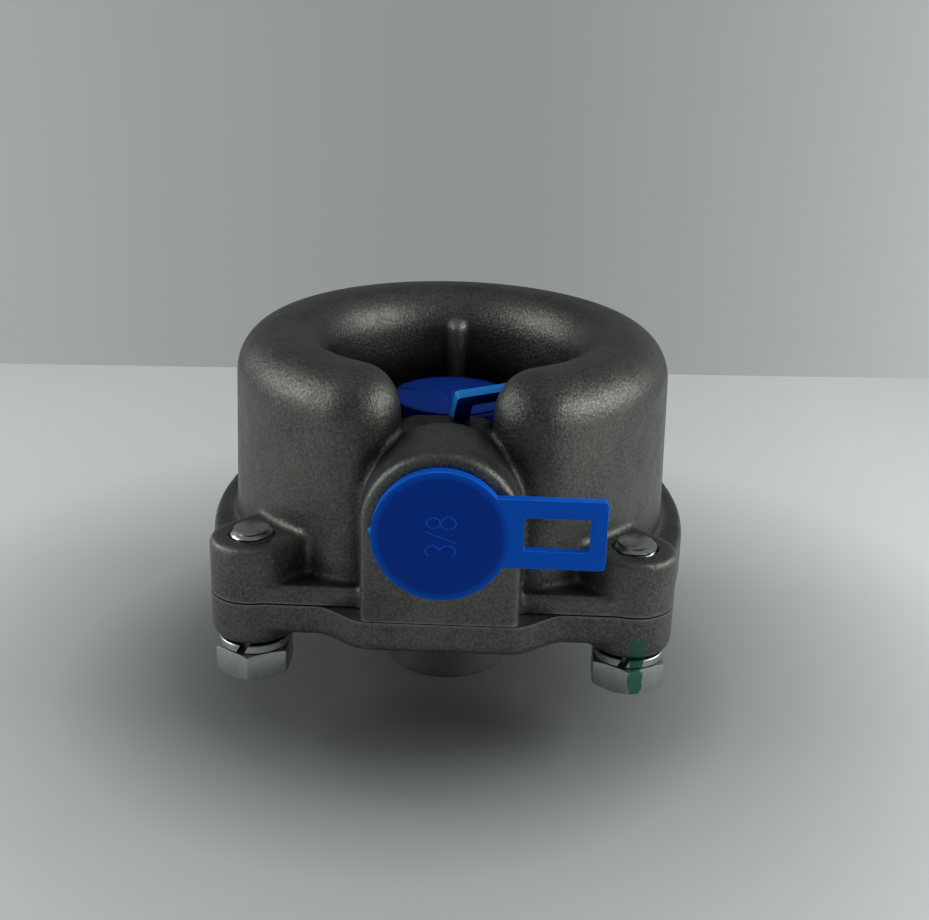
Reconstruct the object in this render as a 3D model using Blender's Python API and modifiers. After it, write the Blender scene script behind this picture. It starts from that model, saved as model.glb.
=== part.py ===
"""Automatic drain valve: a cast sump housing with a port hub, closed by a four-bolt cover.

Water and air enter the front port, pass a strainer and a check valve and collect in the C-shaped
sump. A control signal at the top port pushes the piston down, and its stem opens the drain valve
in the neck. The frame's origin is the middle of the footprint at the level of the neck's end.
Sizes are in millimetres, and meshes are made in metres.
"""

import math

import bmesh
import bpy
from mathutils import Matrix, Vector

MM = 0.001
MERGE = 1e-6

# Clearances
SEAT = 0.3            # between pieces that rest on or in each other
PRESS = 0.25          # around pieces that are fixed in a bore
RUNNING = 0.3         # between the piston and its bore

# Heights of the castings
PARTING_Z = 30.7      # middle of the joint between housing and cover
FLANGE_T = 3.4        # housing flange above the joint
HOUSING_H = 41.5      # housing above the joint
FLOOR_TOP = 44.0      # floor of the round recess in the housing's top
WALL = 3.8            # casting wall

# Housing ring, which is C-shaped in plan
RING_OUTER_R = 43.4   # at the joint
RING_THICK = 19.0     # from its outside to its inside, at the joint
DRAFT = 0.025         # casting draft, as a slope
SLOT_HALF = 7.5       # half the front slot between the ring's rounded ends, at the joint
OUTER_ROUND = 8.4     # top edge rounding, outside
INNER_ROUND = 6.4     # top edge rounding, inside

# Joint flange, a square with bulging sides
FLANGE_MARGIN = 4.1   # around the ring at the sides and the rear
FLANGE_BULGE_R = 80.0
FLANGE_FRONT_IN = 1.2   # the straight front edge stays this far inside the ring's radius
FLANGE_EDGE = 0.7

# Bolts and their lugs
BOLT_MARGIN = 6.1     # from the ring's outside to the bolt circle
LUG_R = 7.7
LUG_TOP_Z = 41.3
LUG_EDGE = 1.1
LUG_DRAFT = 0.1       # a lug's foot stands out this much
BOLT_R = 4.0
BOLT_POINT = 0.9      # chamfer on the bolt's end
BOLT_STANDS_OUT = 1.3
COVER_LUG_T = 8.9
COVER_LUG_EDGE = 2.5
COVER_HOLE_R = 4.5
HEAD_FLATS = 13.0
HEAD_H = 5.3
HEAD_TURN = 28        # degrees about the bolt's axis
HEAD_CONE_SLOPE = 0.55
HEAD_SPARE = 0.15     # the cone starts inside the flats and ends outside the corners
WASHER_R = 6.5
WASHER_T = 1.5
WASHER_SPLIT = 1.6
WASHER_LEAN = 0.9
WASHER_TURN = math.radians(-12)

# Port boss on the front, and the hub with the top port
BOSS_HALF = 14.2
BOSS_STANDS_OUT = 4.5   # in front of the ring's radius
BOSS_LENGTH = 16.8
BOSS_EDGE = 1.2
PORT_Z = 48.8
PORT_R = 7.45         # 3/8 port, minor radius
PORT_DEPTH = 12.0
PASSAGE_R = 4.5
HUB_R = 13.8
HUB_TOP = 55.0
HUB_EDGE = 0.8
TOP_PORT_DEPTH = 11.5
CONTROL_HOLE_R = 2.5
PIPE_EDGE = 2.0       # chamfer on the inlet pipe's end
RIB_R = 1.8
RIB_TOP = 66.0

# Control cylinder inside the hub
CYLINDER_R = 10.0
CYLINDER_TOP = 41.9
PISTON_LENGTH = 6.5
PISTON_TOP_GAP = 0.8
PISTON_TRAVEL = 3.0
PISTON_LAP = 0.4       # cylinder left below the piston at full travel
PISTON_SEAL_R = 1.05
PISTON_SEAL_GAP = 0.2
PISTON_RECESS_R = 5.5
PISTON_RECESS = 3.9
TURNED_EDGE = 0.4      # chamfer on the turned pieces

# Stem, nuts and drain valve
STEM_R = 2.5
STEM_COLLAR_R = 4.0
STEM_COLLAR_T = 1.5
STEM_SHOULDER_R = 3.6
STEM_STANDS_OUT = 0.3
NUT_FLATS = 8.0
NUT_H = 3.0
NUT_CHAMFER = 0.35
DRAIN_HOLE_R = 4.4
DRAIN_DISC_R = 5.9
DRAIN_DISC_T = 2.1
DRAIN_SEAT_R = 6.2
DRAIN_SEAT_FLANGE_R = 9.9
DRAIN_SEAT_FLANGE_T = 1.8

# Cover and its neck
COVER_RIM_T = 6.3
COVER_EDGE = 2.0
BULGE_BACK = 0.3      # the bulge below the port boss stays this far behind its face
BULGE_HALF = 13.0     # half its flat front
BULGE_FOOT = 23.0     # its sides leave the flange here
BULGE_SINK = 0.2      # and start this far inside the flange
COVER_FLOOR_T = 3.1
DISH_MARGIN = 7.4     # from the ring's outside to the cover's dish
NECK_R = 12.3
NECK_EDGE = 0.6
NECK_FLARE_R = 21.0
NECK_FLARE_H = 8.0
NECK_DRAFT = 0.045
OUTLET_DEPTH = 12.0
LAND_T = 4.3
CHAMBER_R = 10.5
SEAL_MARGIN = 1.7     # from the ring's outside to the middle of the cover seal
SEAL_SECTION_R = 1.05
GROOVE_HALF = 1.4
GROOVE_DEPTH = 2.25

# Return spring
SPRING_R = 7.2
SPRING_WIRE_R = 0.65
SPRING_TURNS = 5.5
COIL_GAP = 0.1         # between a spring's closed turns

# Inlet check valve under the floor
CHECK_FROM_FACE = 20.9   # from the boss's face
CHECK_BORE_R = 6.8
CHECK_BOSS_R = 9.8
CHECK_SEAT_Z = 42.2
CHECK_HOLE_R = 3.5
CHECK_DISC_R = 5.4
CHECK_DISC_T = 2.0
CHECK_PILOT_R = 2.2
CHECK_PILOT_H = 2.4
CHECK_SPRING_R = 4.0
CHECK_WIRE_R = 0.3
CHECK_TURNS = 3.5
CHECK_TRAVEL = 2.0
CHECK_SPARE = 1.3      # free height below the pilot at full travel
PLATE_T = 1.0
PLATE_HOLES = 6
PLATE_HOLE_R = 1.05
PLATE_HOLE_RING = 2.5
RING_T = 0.8
RING_WIDTH = 2.0
RING_GAP_HALF = 35     # half the retaining ring's opening, in degrees
RING_GROOVE = 1.0
RING_LIP = 0.6         # boss left below the retaining ring's groove

# Strainer in the front port
STRAINER_T = 0.8
STRAINER_HOLE_R = 0.8
STRAINER_ROWS = ((2.4, 5), (4.8, 9))   # radius and number of holes, around one in the middle

# Blue port plugs with their pull tabs
PLUG_R = 11.95
PLUG_T = 2.2
PLUG_EDGE = 0.5
PLUG_SHANK_R = 7.1
PLUG_SHANK = 8.5
PLUG_WALL = 1.2
TAB_REACH = 28.3
TAB_WIDTH = 12.7
TAB_T = 1.8
TAB_DROP = 0.2        # from the plug's face to the tab's
TAB_RISE = 1.1        # the front tab stands a little above the port's axis
TAB_BAR = 3.3
TAB_END_BAR = 2.8
TAB_CORNER = 0.8
TAB_WINDOW_START = 14.15
TOP_TAB_TURN = math.radians(-45)   # the top plug's tab points to the front right
FOLD_SKEW = math.radians(18.5)     # and is folded back over its disc along a line askew to it
FOLD_START = 12.0     # from the plug's axis, along the fold's normal
FOLD_R = 2.1          # of the tab's middle surface
FOLD_BEND = math.radians(191)
FOLD_STEPS = 8

RING_INNER_R = RING_OUTER_R - RING_THICK
FLANGE_REACH = RING_OUTER_R + FLANGE_MARGIN
FLANGE_FRONT = RING_OUTER_R - FLANGE_FRONT_IN
BOLT_XY = (RING_OUTER_R + BOLT_MARGIN) / math.sqrt(2)
BOSS_FACE = RING_OUTER_R + BOSS_STANDS_OUT
COVER_FRONT = BOSS_FACE - BULGE_BACK
DISH_R = RING_OUTER_R - DISH_MARGIN
SEAL_R = RING_OUTER_R - SEAL_MARGIN
CHECK_Y = CHECK_FROM_FACE - BOSS_FACE
PISTON_LOW = CYLINDER_TOP - PISTON_TOP_GAP - PISTON_LENGTH
HUB_FOOT = PISTON_LOW - PISTON_TRAVEL - PISTON_LAP
CHECK_DISC_LOW = CHECK_SEAT_Z - SEAT - CHECK_DISC_T
PLATE_TOP = CHECK_DISC_LOW - CHECK_PILOT_H - CHECK_TRAVEL - CHECK_SPARE
RING_GROOVE_TOP = PLATE_TOP - PLATE_T - SEAT / 2
RING_GROOVE_LOW = RING_GROOVE_TOP - RING_T - SEAT
CHECK_BOSS_FOOT = RING_GROOVE_LOW - RING_LIP
DRAIN_SEAT_LOW = OUTLET_DEPTH + SEAT
HOUSING_FOOT = PARTING_Z + SEAT / 2
COVER_TOP = PARTING_Z - SEAT / 2
TOP_Z = PARTING_Z + HOUSING_H
RING_MID_R = (RING_OUTER_R + RING_INNER_R) / 2
NOSE_R = (RING_OUTER_R - RING_INNER_R) / 2
SLOT_ANGLE = math.asin((SLOT_HALF + NOSE_R) / RING_MID_R)
OVERRUN = 3.0         # how far cut solids run past the face that trims them
SINK = 2.0            # how far a form runs into the one that it stands on
DRUM_R = RING_MID_R + SINK   # radius of the recess floor's solid
PLUG_FACE = BOSS_FACE + SEAT + PLUG_T
AXIS_Y = (PLUG_FACE - FLANGE_REACH) / 2


# Scene, collections and materials

for old in list(bpy.data.objects):
    bpy.data.objects.remove(old, do_unlink=True)


def make_collection(name):
    made = bpy.data.collections.new(name)
    bpy.context.scene.collection.children.link(made)
    return made


parts = make_collection("automatic_drain_valve")
cutters = make_collection("cutters")

valve_axis = bpy.data.objects.new("valve_axis", None)
valve_axis.location = (0, AXIS_Y * MM, 0)
parts.objects.link(valve_axis)


def make_material(name, colour, roughness, metallic):
    made = bpy.data.materials.new(name)
    made.use_nodes = True
    shader = made.node_tree.nodes["Principled BSDF"]
    shader.inputs["Base Color"].default_value = (*colour, 1)
    shader.inputs["Roughness"].default_value = roughness
    shader.inputs["Metallic"].default_value = metallic
    return made


CAST = make_material("cast_aluminium", (0.19, 0.19, 0.175), 0.55, 0.7)
ZINC = make_material("zinc_plate", (0.62, 0.63, 0.65), 0.3, 1.0)
BLUE = make_material("blue_plastic", (0.01, 0.12, 0.62), 0.4, 0.0)
RUBBER = make_material("seal_rubber", (0.02, 0.02, 0.02), 0.7, 0.0)
BRASS = make_material("brass", (0.6, 0.45, 0.2), 0.35, 1.0)
STEEL = make_material("spring_steel", (0.45, 0.45, 0.47), 0.35, 1.0)


# Building blocks

def add_object(name, mesh, material=None, parent=valve_axis, at=(0, 0, 0), turn=(0, 0, 0)):
    """A part when it has a material, else a helper solid for a Boolean."""
    made = bpy.data.objects.new(name, mesh)
    made.parent = parent
    made.location = [v * MM for v in at]
    made.rotation_euler = turn
    if material:
        mesh.materials.append(material)
        parts.objects.link(made)
    else:
        cutters.objects.link(made)
        made.hide_render = True
        made.display_type = "WIRE"
    return made


def turned(name, outline, steps=36, **place):
    """Closed outline of (radius, height), outer side first and downwards, turned about Z."""
    mesh = bpy.data.meshes.new(name)
    points = [(r * MM, 0, z * MM) for r, z in outline]
    count = len(points)
    edges = [(i, i + 1) for i in range(count - 1)]
    if outline[0][0] or outline[-1][0]:
        edges.append((count - 1, 0))
    mesh.from_pydata(points, edges, [])
    made = add_object(name, mesh, **place)
    screw = made.modifiers.new("turn", "SCREW")
    screw.steps = screw.render_steps = steps
    screw.use_merge_vertices = True
    screw.merge_threshold = MERGE
    return made


def lofted(name, loops, **place):
    """Solid through loops of (x, y) points, each given with its height, lowest first."""
    work = bmesh.new()
    rings = [[work.verts.new((x * MM, y * MM, z * MM)) for x, y in loop] for z, loop in loops]
    for low, high in zip(rings, rings[1:]):
        for i in range(len(low)):
            j = (i + 1) % len(low)
            work.faces.new((low[i], low[j], high[j], high[i]))
    work.faces.new(list(reversed(rings[0])))
    work.faces.new(rings[-1])
    mesh = bpy.data.meshes.new(name)
    work.to_mesh(mesh)
    work.free()
    return add_object(name, mesh, **place)


def union(target, other):
    combine(target, other, "UNION")


def cut(target, other):
    combine(target, other, "DIFFERENCE")


def combine(target, other, operation):
    step = target.modifiers.new(other.name, "BOOLEAN")
    step.operation = operation
    step.object = other
    step.solver = "EXACT"


def shade_smooth(made, angle=35):
    made.data.shade_smooth()
    made.data.set_sharp_from_angle(angle=math.radians(angle))


def arc(cx, cy, radius, start, end, steps):
    """Points on an arc, both ends included, with angles in degrees."""
    angles = [math.radians(start + (end - start) * i / steps) for i in range(steps + 1)]
    return [(cx + radius * math.cos(a), cy + radius * math.sin(a)) for a in angles]


def box(name, low, high, **place):
    loop = [(low[0], low[1]), (high[0], low[1]), (high[0], high[1]), (low[0], high[1])]
    return lofted(name, [(low[2], loop), (high[2], loop)], **place)


def edge_rounding(top, radius, steps):
    """Pairs of (height, inset) up a rounded edge that ends at the height top."""
    angles = [math.pi / 2 * i / steps for i in range(steps + 1)]
    return [(top - radius * (1 - math.sin(a)), radius * (1 - math.cos(a))) for a in angles]


def coil(name, radius, wire_r, low, high, turns, **place):
    """A compression spring along Z with one closed turn at each end."""
    per_turn = 12
    dead = 1.0
    lead = 2 * wire_r + COIL_GAP
    pitch = (high - low - 2 * wire_r - lead * 2 * dead) / (turns - 2 * dead)
    count = int(turns * per_turn)
    curve = bpy.data.curves.new(name, "CURVE")
    curve.dimensions = "3D"
    curve.bevel_depth = wire_r * MM
    curve.bevel_resolution = 1
    curve.use_fill_caps = True
    line = curve.splines.new("POLY")
    line.points.add(count)
    for i in range(count + 1):
        t = i / per_turn
        closed = min(t, dead) + max(0.0, t - (turns - dead))
        open_part = t - closed
        z = low + wire_r + closed * lead + open_part * pitch
        a = 2 * math.pi * t
        line.points[i].co = (radius * math.cos(a) * MM, radius * math.sin(a) * MM, z * MM, 1)
    guide = bpy.data.objects.new(name + "_path", curve)
    cutters.objects.link(guide)
    bpy.context.view_layer.update()
    mesh = bpy.data.meshes.new_from_object(guide.evaluated_get(bpy.context.evaluated_depsgraph_get()))
    work = bmesh.new()
    work.from_mesh(mesh)
    bmesh.ops.remove_doubles(work, verts=work.verts, dist=MERGE)
    work.to_mesh(mesh)
    work.free()
    bpy.data.objects.remove(guide, do_unlink=True)
    return add_object(name, mesh, **place)


def seal_ring(name, ring_r, section_r, z, steps, **place):
    outline = [(ring_r + x, z - y) for x, y in arc(0, 0, section_r, -90, 270, 6)[:-1]]
    return turned(name, outline, steps, **place)


def spots_around(ring_r, count):
    angles = [2 * math.pi * i / count for i in range(count)]
    return [(ring_r * math.cos(a), ring_r * math.sin(a)) for a in angles]


def hole_cutter(name, spots, radius, low, high, segments, **place):
    """Round cutters along Z at the spots, in one helper solid."""
    work = bmesh.new()
    for x, y in spots:
        middle = Matrix.Translation(Vector((x, y, (low + high) / 2)) * MM)
        bmesh.ops.create_cone(work, cap_ends=True, segments=segments, radius1=radius * MM,
                              radius2=radius * MM, depth=(high - low) * MM, matrix=middle)
    mesh = bpy.data.meshes.new(name)
    work.to_mesh(mesh)
    work.free()
    return add_object(name, mesh, **place)


def hexagon(flats, inset=0.0, turn=0.0):
    corner = (flats / 2 - inset) / math.cos(math.pi / 6)
    return arc(0, 0, corner, turn, turn + 360, 6)[:-1]


# Plan outlines of the castings

def ring_outline(outer_in, inner_in, outer_steps, inner_steps, nose_steps):
    """The C in plan, drawn in by outer_in and inner_in, counter-clockwise."""
    outer = RING_OUTER_R - outer_in
    inner = RING_INNER_R + inner_in
    half = math.degrees(SLOT_ANGLE)
    start, end = -90 + half, 270 - half
    middle, nose = (outer + inner) / 2, (outer - inner) / 2

    def nose_centre(angle):
        a = math.radians(angle)
        return middle * math.cos(a), middle * math.sin(a)

    points = arc(0, 0, outer, start, end, outer_steps)[:-1]
    points += arc(*nose_centre(end), nose, end, end + 180, nose_steps)[:-1]
    points += arc(0, 0, inner, end, start, inner_steps)[:-1]
    points += arc(*nose_centre(start), nose, start + 180, start + 360, nose_steps)[:-1]
    return points


def flange_outline(inset):
    """Bulging sides and rear, a straight front, and corners that the lugs cover."""
    reach, radius = FLANGE_REACH - inset, FLANGE_BULGE_R - inset
    centre = reach - radius
    corner = (centre + math.sqrt(2 * radius ** 2 - centre ** 2)) / 2
    front = FLANGE_FRONT - inset
    rear_half = math.degrees(math.asin(corner / radius))
    front_half = math.degrees(math.asin(front / radius))
    points = arc(centre, 0, radius, -front_half, rear_half, 9)
    points += arc(0, centre, radius, 90 - rear_half, 90 + rear_half, 9)[1:]
    points += arc(-centre, 0, radius, 180 - rear_half, 180 + front_half, 9)[1:]
    return points


def lug_outline(inset):
    """A lug that points along +X, with its bolt centre on that axis."""
    radius = LUG_R - inset
    centre = BOLT_XY * math.sqrt(2)
    return [(RING_MID_R, -radius)] + arc(centre, 0, radius, -90, 90, 10) + [(RING_MID_R, radius)]


def pad_outline(inset):
    """The cover's pad under a lug, with the same end and a round root."""
    radius = LUG_R - inset
    centre = BOLT_XY * math.sqrt(2)
    return arc(centre, 0, radius, -90, 90, 10) + arc(centre - LUG_R, 0, radius, 90, 270, 8)


def boss_outline(inset):
    """The front boss as an arch with straight sides, x across and y up."""
    half = BOSS_HALF - inset
    low = HOUSING_FOOT - OVERRUN
    return [(half, low)] + arc(0, PORT_Z, half, 0, 180, 16) + [(-half, low)]


def front_outline(inset):
    """The cover's bulge below the port boss, with sides that run out in an S."""
    start = FLANGE_FRONT - BULGE_SINK
    steps = 8
    side = []
    for i in range(steps + 1):
        t = i / steps
        reach = start + (COVER_FRONT - start) * t * t * (3 - 2 * t)
        side.append((BULGE_FOOT + (BULGE_HALF - BULGE_FOOT) * t, inset - reach))
    rear = -FLANGE_FRONT / 2
    return [(BULGE_FOOT, rear), (-BULGE_FOOT, rear)] + [(-x, y) for x, y in side] + side[::-1]


def lug_places():
    return [(k, math.radians(45 + 90 * k)) for k in range(4)]


def bolt_places():
    return [(BOLT_XY * sx, BOLT_XY * sy) for sx, sy in ((1, 1), (-1, 1), (-1, -1), (1, -1))]


FACE_FRONT = (math.pi / 2, 0, 0)   # turns +Z to -Y


# Housing

def make_ring(name, wall, top, outer_round, inner_round, rounding_steps, plan_steps, **place):
    """The C-shaped ring, or its inner space when wall is the casting's wall."""
    def loop_at(z, share):
        inset = wall + DRAFT * (z - HOUSING_FOOT)
        return z, ring_outline(inset + outer_round * share, inset + inner_round * share, *plan_steps)

    rounding = max(outer_round, inner_round)
    loops = [loop_at(HOUSING_FOOT - OVERRUN, 0.0)]
    loops += [loop_at(z, drawn_in / rounding) for z, drawn_in in edge_rounding(top, rounding, rounding_steps)]
    return lofted(name, loops, **place)


def make_housing():
    housing = make_ring("upper_housing", 0.0, TOP_Z, OUTER_ROUND, INNER_ROUND, 5, (34, 24, 7),
                        material=CAST)

    low = HOUSING_FOOT - OVERRUN
    union(housing, turned("floor_drum", [(0, FLOOR_TOP), (DRUM_R, FLOOR_TOP), (DRUM_R, low), (0, low)]))

    flange_top = HOUSING_FOOT + FLANGE_T
    flange = [(low, flange_outline(0))]
    flange += [(z, flange_outline(inset)) for z, inset in edge_rounding(flange_top, FLANGE_EDGE, 2)]
    union(housing, lofted("joint_flange", flange))

    for k, angle in lug_places():
        loops = [(low, lug_outline(-LUG_DRAFT))]
        loops += [(z, lug_outline(inset)) for z, inset in edge_rounding(LUG_TOP_Z, LUG_EDGE, 2)]
        union(housing, lofted(f"bolt_lug_{k + 1}", loops, turn=(0, 0, angle)))

    loops = [(BOSS_FACE - BOSS_LENGTH, boss_outline(0))]
    loops += [(z, boss_outline(inset)) for z, inset in edge_rounding(BOSS_FACE, BOSS_EDGE, 2)]
    union(housing, lofted("port_boss", loops, turn=FACE_FRONT))

    pipe_r = PASSAGE_R + WALL
    pipe_start, pipe_end = BOSS_FACE - PORT_DEPTH, -CHECK_Y - pipe_r
    pipe = [(0, pipe_start), (pipe_r, pipe_start), (pipe_r, pipe_end + PIPE_EDGE),
            (pipe_r - PIPE_EDGE, pipe_end), (0, pipe_end)]
    union(housing, turned("inlet_pipe", pipe, 32, turn=FACE_FRONT, at=(0, 0, PORT_Z)))

    hub = [(0, HUB_TOP), (HUB_R - HUB_EDGE, HUB_TOP), (HUB_R, HUB_TOP - HUB_EDGE),
           (HUB_R, FLOOR_TOP - SINK), (0, FLOOR_TOP - SINK)]
    union(housing, turned("port_hub", hub))

    rib_r = RING_INNER_R + DRAFT * (RIB_TOP - HOUSING_FOOT)
    rib = [(0, RIB_TOP)] + [(x, RIB_TOP - RIB_R + y) for x, y in arc(0, 0, RIB_R, 75, 0, 4)]
    rib += [(RIB_R, FLOOR_TOP - SINK), (0, FLOOR_TOP - SINK)]
    union(housing, turned("recess_rib", rib, 16, at=(0, rib_r, 0)))

    cut_housing_inside(housing)
    shade_smooth(housing)
    return housing


def cut_housing_inside(housing):
    low = HOUSING_FOOT - OVERRUN
    reach = FLANGE_REACH * 1.5
    cut(housing, box("joint_face", (-reach, -reach, low - 1), (reach, reach, HOUSING_FOOT)))
    cut(housing, hole_cutter("housing_bolt_holes", bolt_places(), BOLT_R + SEAT, low, LUG_TOP_Z + 1, 20))
    ceiling = FLOOR_TOP - WALL
    cut(housing, make_ring("sump_space", WALL, TOP_Z - WALL, OUTER_ROUND - WALL, INNER_ROUND - WALL,
                           2, (26, 18, 5)))
    cut(housing, turned("floor_space", [(0, ceiling), (DRUM_R, ceiling), (DRUM_R, low), (0, low)]))

    core_half, core_top = BOSS_HALF - WALL, PORT_Z - PORT_R - WALL
    cut(housing, box("boss_core", (-core_half, -(BOSS_FACE - WALL), low),
                     (core_half, -DRUM_R + OVERRUN * 2, core_top)))

    inner_hub = [(0, ceiling + 1), (CYLINDER_R + WALL, ceiling + 1), (CYLINDER_R + WALL, HUB_FOOT),
                 (0, HUB_FOOT)]
    union(housing, turned("cylinder_wall", inner_hub))
    check_boss = [(0, ceiling + 1), (CHECK_BOSS_R, ceiling + 1), (CHECK_BOSS_R, CHECK_BOSS_FOOT),
                  (0, CHECK_BOSS_FOOT)]
    union(housing, turned("check_valve_boss", check_boss, 32, at=(0, CHECK_Y, 0)))

    port_floor = HUB_TOP - TOP_PORT_DEPTH
    bore = [(0, HUB_TOP + 1), (PORT_R, HUB_TOP + 1), (PORT_R, port_floor), (CONTROL_HOLE_R, port_floor),
            (CONTROL_HOLE_R, CYLINDER_TOP), (CYLINDER_R, CYLINDER_TOP), (CYLINDER_R, low), (0, low)]
    cut(housing, turned("hub_bores", bore))

    port_end = BOSS_FACE - PORT_DEPTH
    passage_end = -CHECK_Y - PASSAGE_R
    bore = [(0, BOSS_FACE + 1), (PORT_R, BOSS_FACE + 1), (PORT_R, port_end), (PASSAGE_R, port_end),
            (PASSAGE_R, passage_end), (0, passage_end)]
    cut(housing, turned("inlet_bores", bore, 32, turn=FACE_FRONT, at=(0, 0, PORT_Z)))

    groove_r = CHECK_BORE_R + RING_GROOVE
    bore = [(0, PORT_Z), (CHECK_HOLE_R, PORT_Z), (CHECK_HOLE_R, CHECK_SEAT_Z),
            (CHECK_BORE_R, CHECK_SEAT_Z), (CHECK_BORE_R, RING_GROOVE_TOP), (groove_r, RING_GROOVE_TOP),
            (groove_r, RING_GROOVE_LOW), (CHECK_BORE_R, RING_GROOVE_LOW), (CHECK_BORE_R, low), (0, low)]
    cut(housing, turned("check_bores", bore, 32, at=(0, CHECK_Y, 0)))


# Cover

def make_cover():
    high = COVER_TOP + OVERRUN
    rim_low = COVER_TOP - COVER_RIM_T

    def rounded_below(loop_of_inset, low, radius):
        """Loops from a rounded lower edge up to the height high."""
        steps = [(2 * low - z + radius, inset) for z, inset in edge_rounding(low + radius, radius, 2)]
        loops = [(z, loop_of_inset(inset)) for z, inset in reversed(steps)]
        return loops + [(high, loop_of_inset(0))]

    cover = lofted("lower_cover", rounded_below(flange_outline, rim_low, COVER_EDGE), material=CAST)
    for k, angle in lug_places():
        loops = rounded_below(pad_outline, COVER_TOP - COVER_LUG_T, COVER_LUG_EDGE)
        union(cover, lofted(f"cover_lug_{k + 1}", loops, turn=(0, 0, angle)))

    union(cover, lofted("cover_front", rounded_below(front_outline, rim_low, COVER_EDGE)))

    neck_top_r = NECK_R + NECK_DRAFT * (rim_low - NECK_FLARE_H)
    neck = [(0, COVER_TOP - 1), (NECK_FLARE_R, COVER_TOP - 1), (NECK_FLARE_R, rim_low)]
    neck += [(NECK_FLARE_R - (NECK_FLARE_R - neck_top_r) * math.sin(a),
              rim_low - NECK_FLARE_H * (1 - math.cos(a)))
             for a in [math.pi / 2 * i / 5 for i in range(1, 6)]]
    neck += [(NECK_R, NECK_EDGE), (NECK_R - NECK_EDGE, 0), (0, 0)]
    union(cover, turned("drain_neck", neck))

    reach = FLANGE_REACH * 1.5
    cut(cover, box("cover_joint_face", (-reach, -reach, COVER_TOP), (reach, reach, high + 1)))
    groove = [(SEAL_R + GROOVE_HALF, high), (SEAL_R + GROOVE_HALF, COVER_TOP - GROOVE_DEPTH),
              (SEAL_R - GROOVE_HALF, COVER_TOP - GROOVE_DEPTH), (SEAL_R - GROOVE_HALF, high)]
    cut(cover, turned("seal_groove", groove, 48))
    cut(cover, hole_cutter("cover_bolt_holes", bolt_places(), COVER_HOLE_R, OUTLET_DEPTH, high + 1, 20))
    floor = COVER_TOP - COVER_FLOOR_T
    land_top = OUTLET_DEPTH + LAND_T
    bore = [(0, high + 1), (DISH_R, high + 1), (DISH_R, floor), (CHAMBER_R, floor), (CHAMBER_R, land_top),
            (DRAIN_SEAT_R + PRESS, land_top), (DRAIN_SEAT_R + PRESS, OUTLET_DEPTH),
            (PORT_R, OUTLET_DEPTH), (PORT_R, -1), (0, -1)]
    cut(cover, turned("sump_dish", bore))
    shade_smooth(cover)
    return cover


# Bolts and washers

def make_bolts():
    washer_low = COVER_TOP - COVER_LUG_T - SEAT - WASHER_T
    bearing = washer_low - SEAT / 2
    for number, (x, y) in enumerate(bolt_places(), 1):
        make_bolt(f"cover_bolt_{number}", bearing, x, y)
        make_lock_washer(f"lock_washer_{number}", washer_low, x, y)


def make_bolt(name, bearing, x, y):
    """A hex bolt from below. A cone turns the corners off the head's lower face."""
    low = bearing - HEAD_H
    hexagon_loop = hexagon(HEAD_FLATS, turn=HEAD_TURN)
    bolt = lofted(name, [(low, hexagon_loop), (bearing, hexagon_loop)], material=ZINC, at=(x, y, 0))
    tip = LUG_TOP_Z + BOLT_STANDS_OUT
    shank = [(0, tip), (BOLT_R - BOLT_POINT, tip), (BOLT_R, tip - BOLT_POINT),
             (BOLT_R, bearing - 1), (0, bearing - 1)]
    union(bolt, turned(name + "_shank", shank, 24, at=(x, y, 0)))
    flat_r = HEAD_FLATS / 2
    corner_r = flat_r / math.cos(math.pi / 6) + HEAD_SPARE
    cone_high = low + (corner_r - flat_r) * HEAD_CONE_SLOPE
    cone = [(HEAD_FLATS, bearing), (HEAD_FLATS, low - 1), (flat_r - HEAD_SPARE, low - 1),
            (flat_r - HEAD_SPARE, low), (corner_r, cone_high), (corner_r, bearing)]
    cut(bolt, turned(name + "_head_cone", cone, 24, at=(x, y, 0)))
    shade_smooth(bolt, 30)


def make_lock_washer(name, low, x, y):
    """A spring washer: a flat ring with one slanting split, which faces the front."""
    outline = [(WASHER_R, low + WASHER_T), (WASHER_R, low), (BOLT_R + SEAT, low),
               (BOLT_R + SEAT, low + WASHER_T)]
    washer = turned(name, outline, 32, material=ZINC, at=(x, y, 0))
    half = WASHER_SPLIT / 2
    loops = []
    for z, shift in ((low - 1, -WASHER_LEAN), (low + WASHER_T + 1, WASHER_LEAN)):
        loops.append((z, [(shift - half, -WASHER_R - 1), (shift + half, -WASHER_R - 1),
                          (shift + half, -BOLT_R + 1), (shift - half, -BOLT_R + 1)]))
    cut(washer, lofted(name + "_split", loops, at=(x, y, 0), turn=(0, 0, WASHER_TURN)))


# Control piston, stem and drain valve

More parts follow.
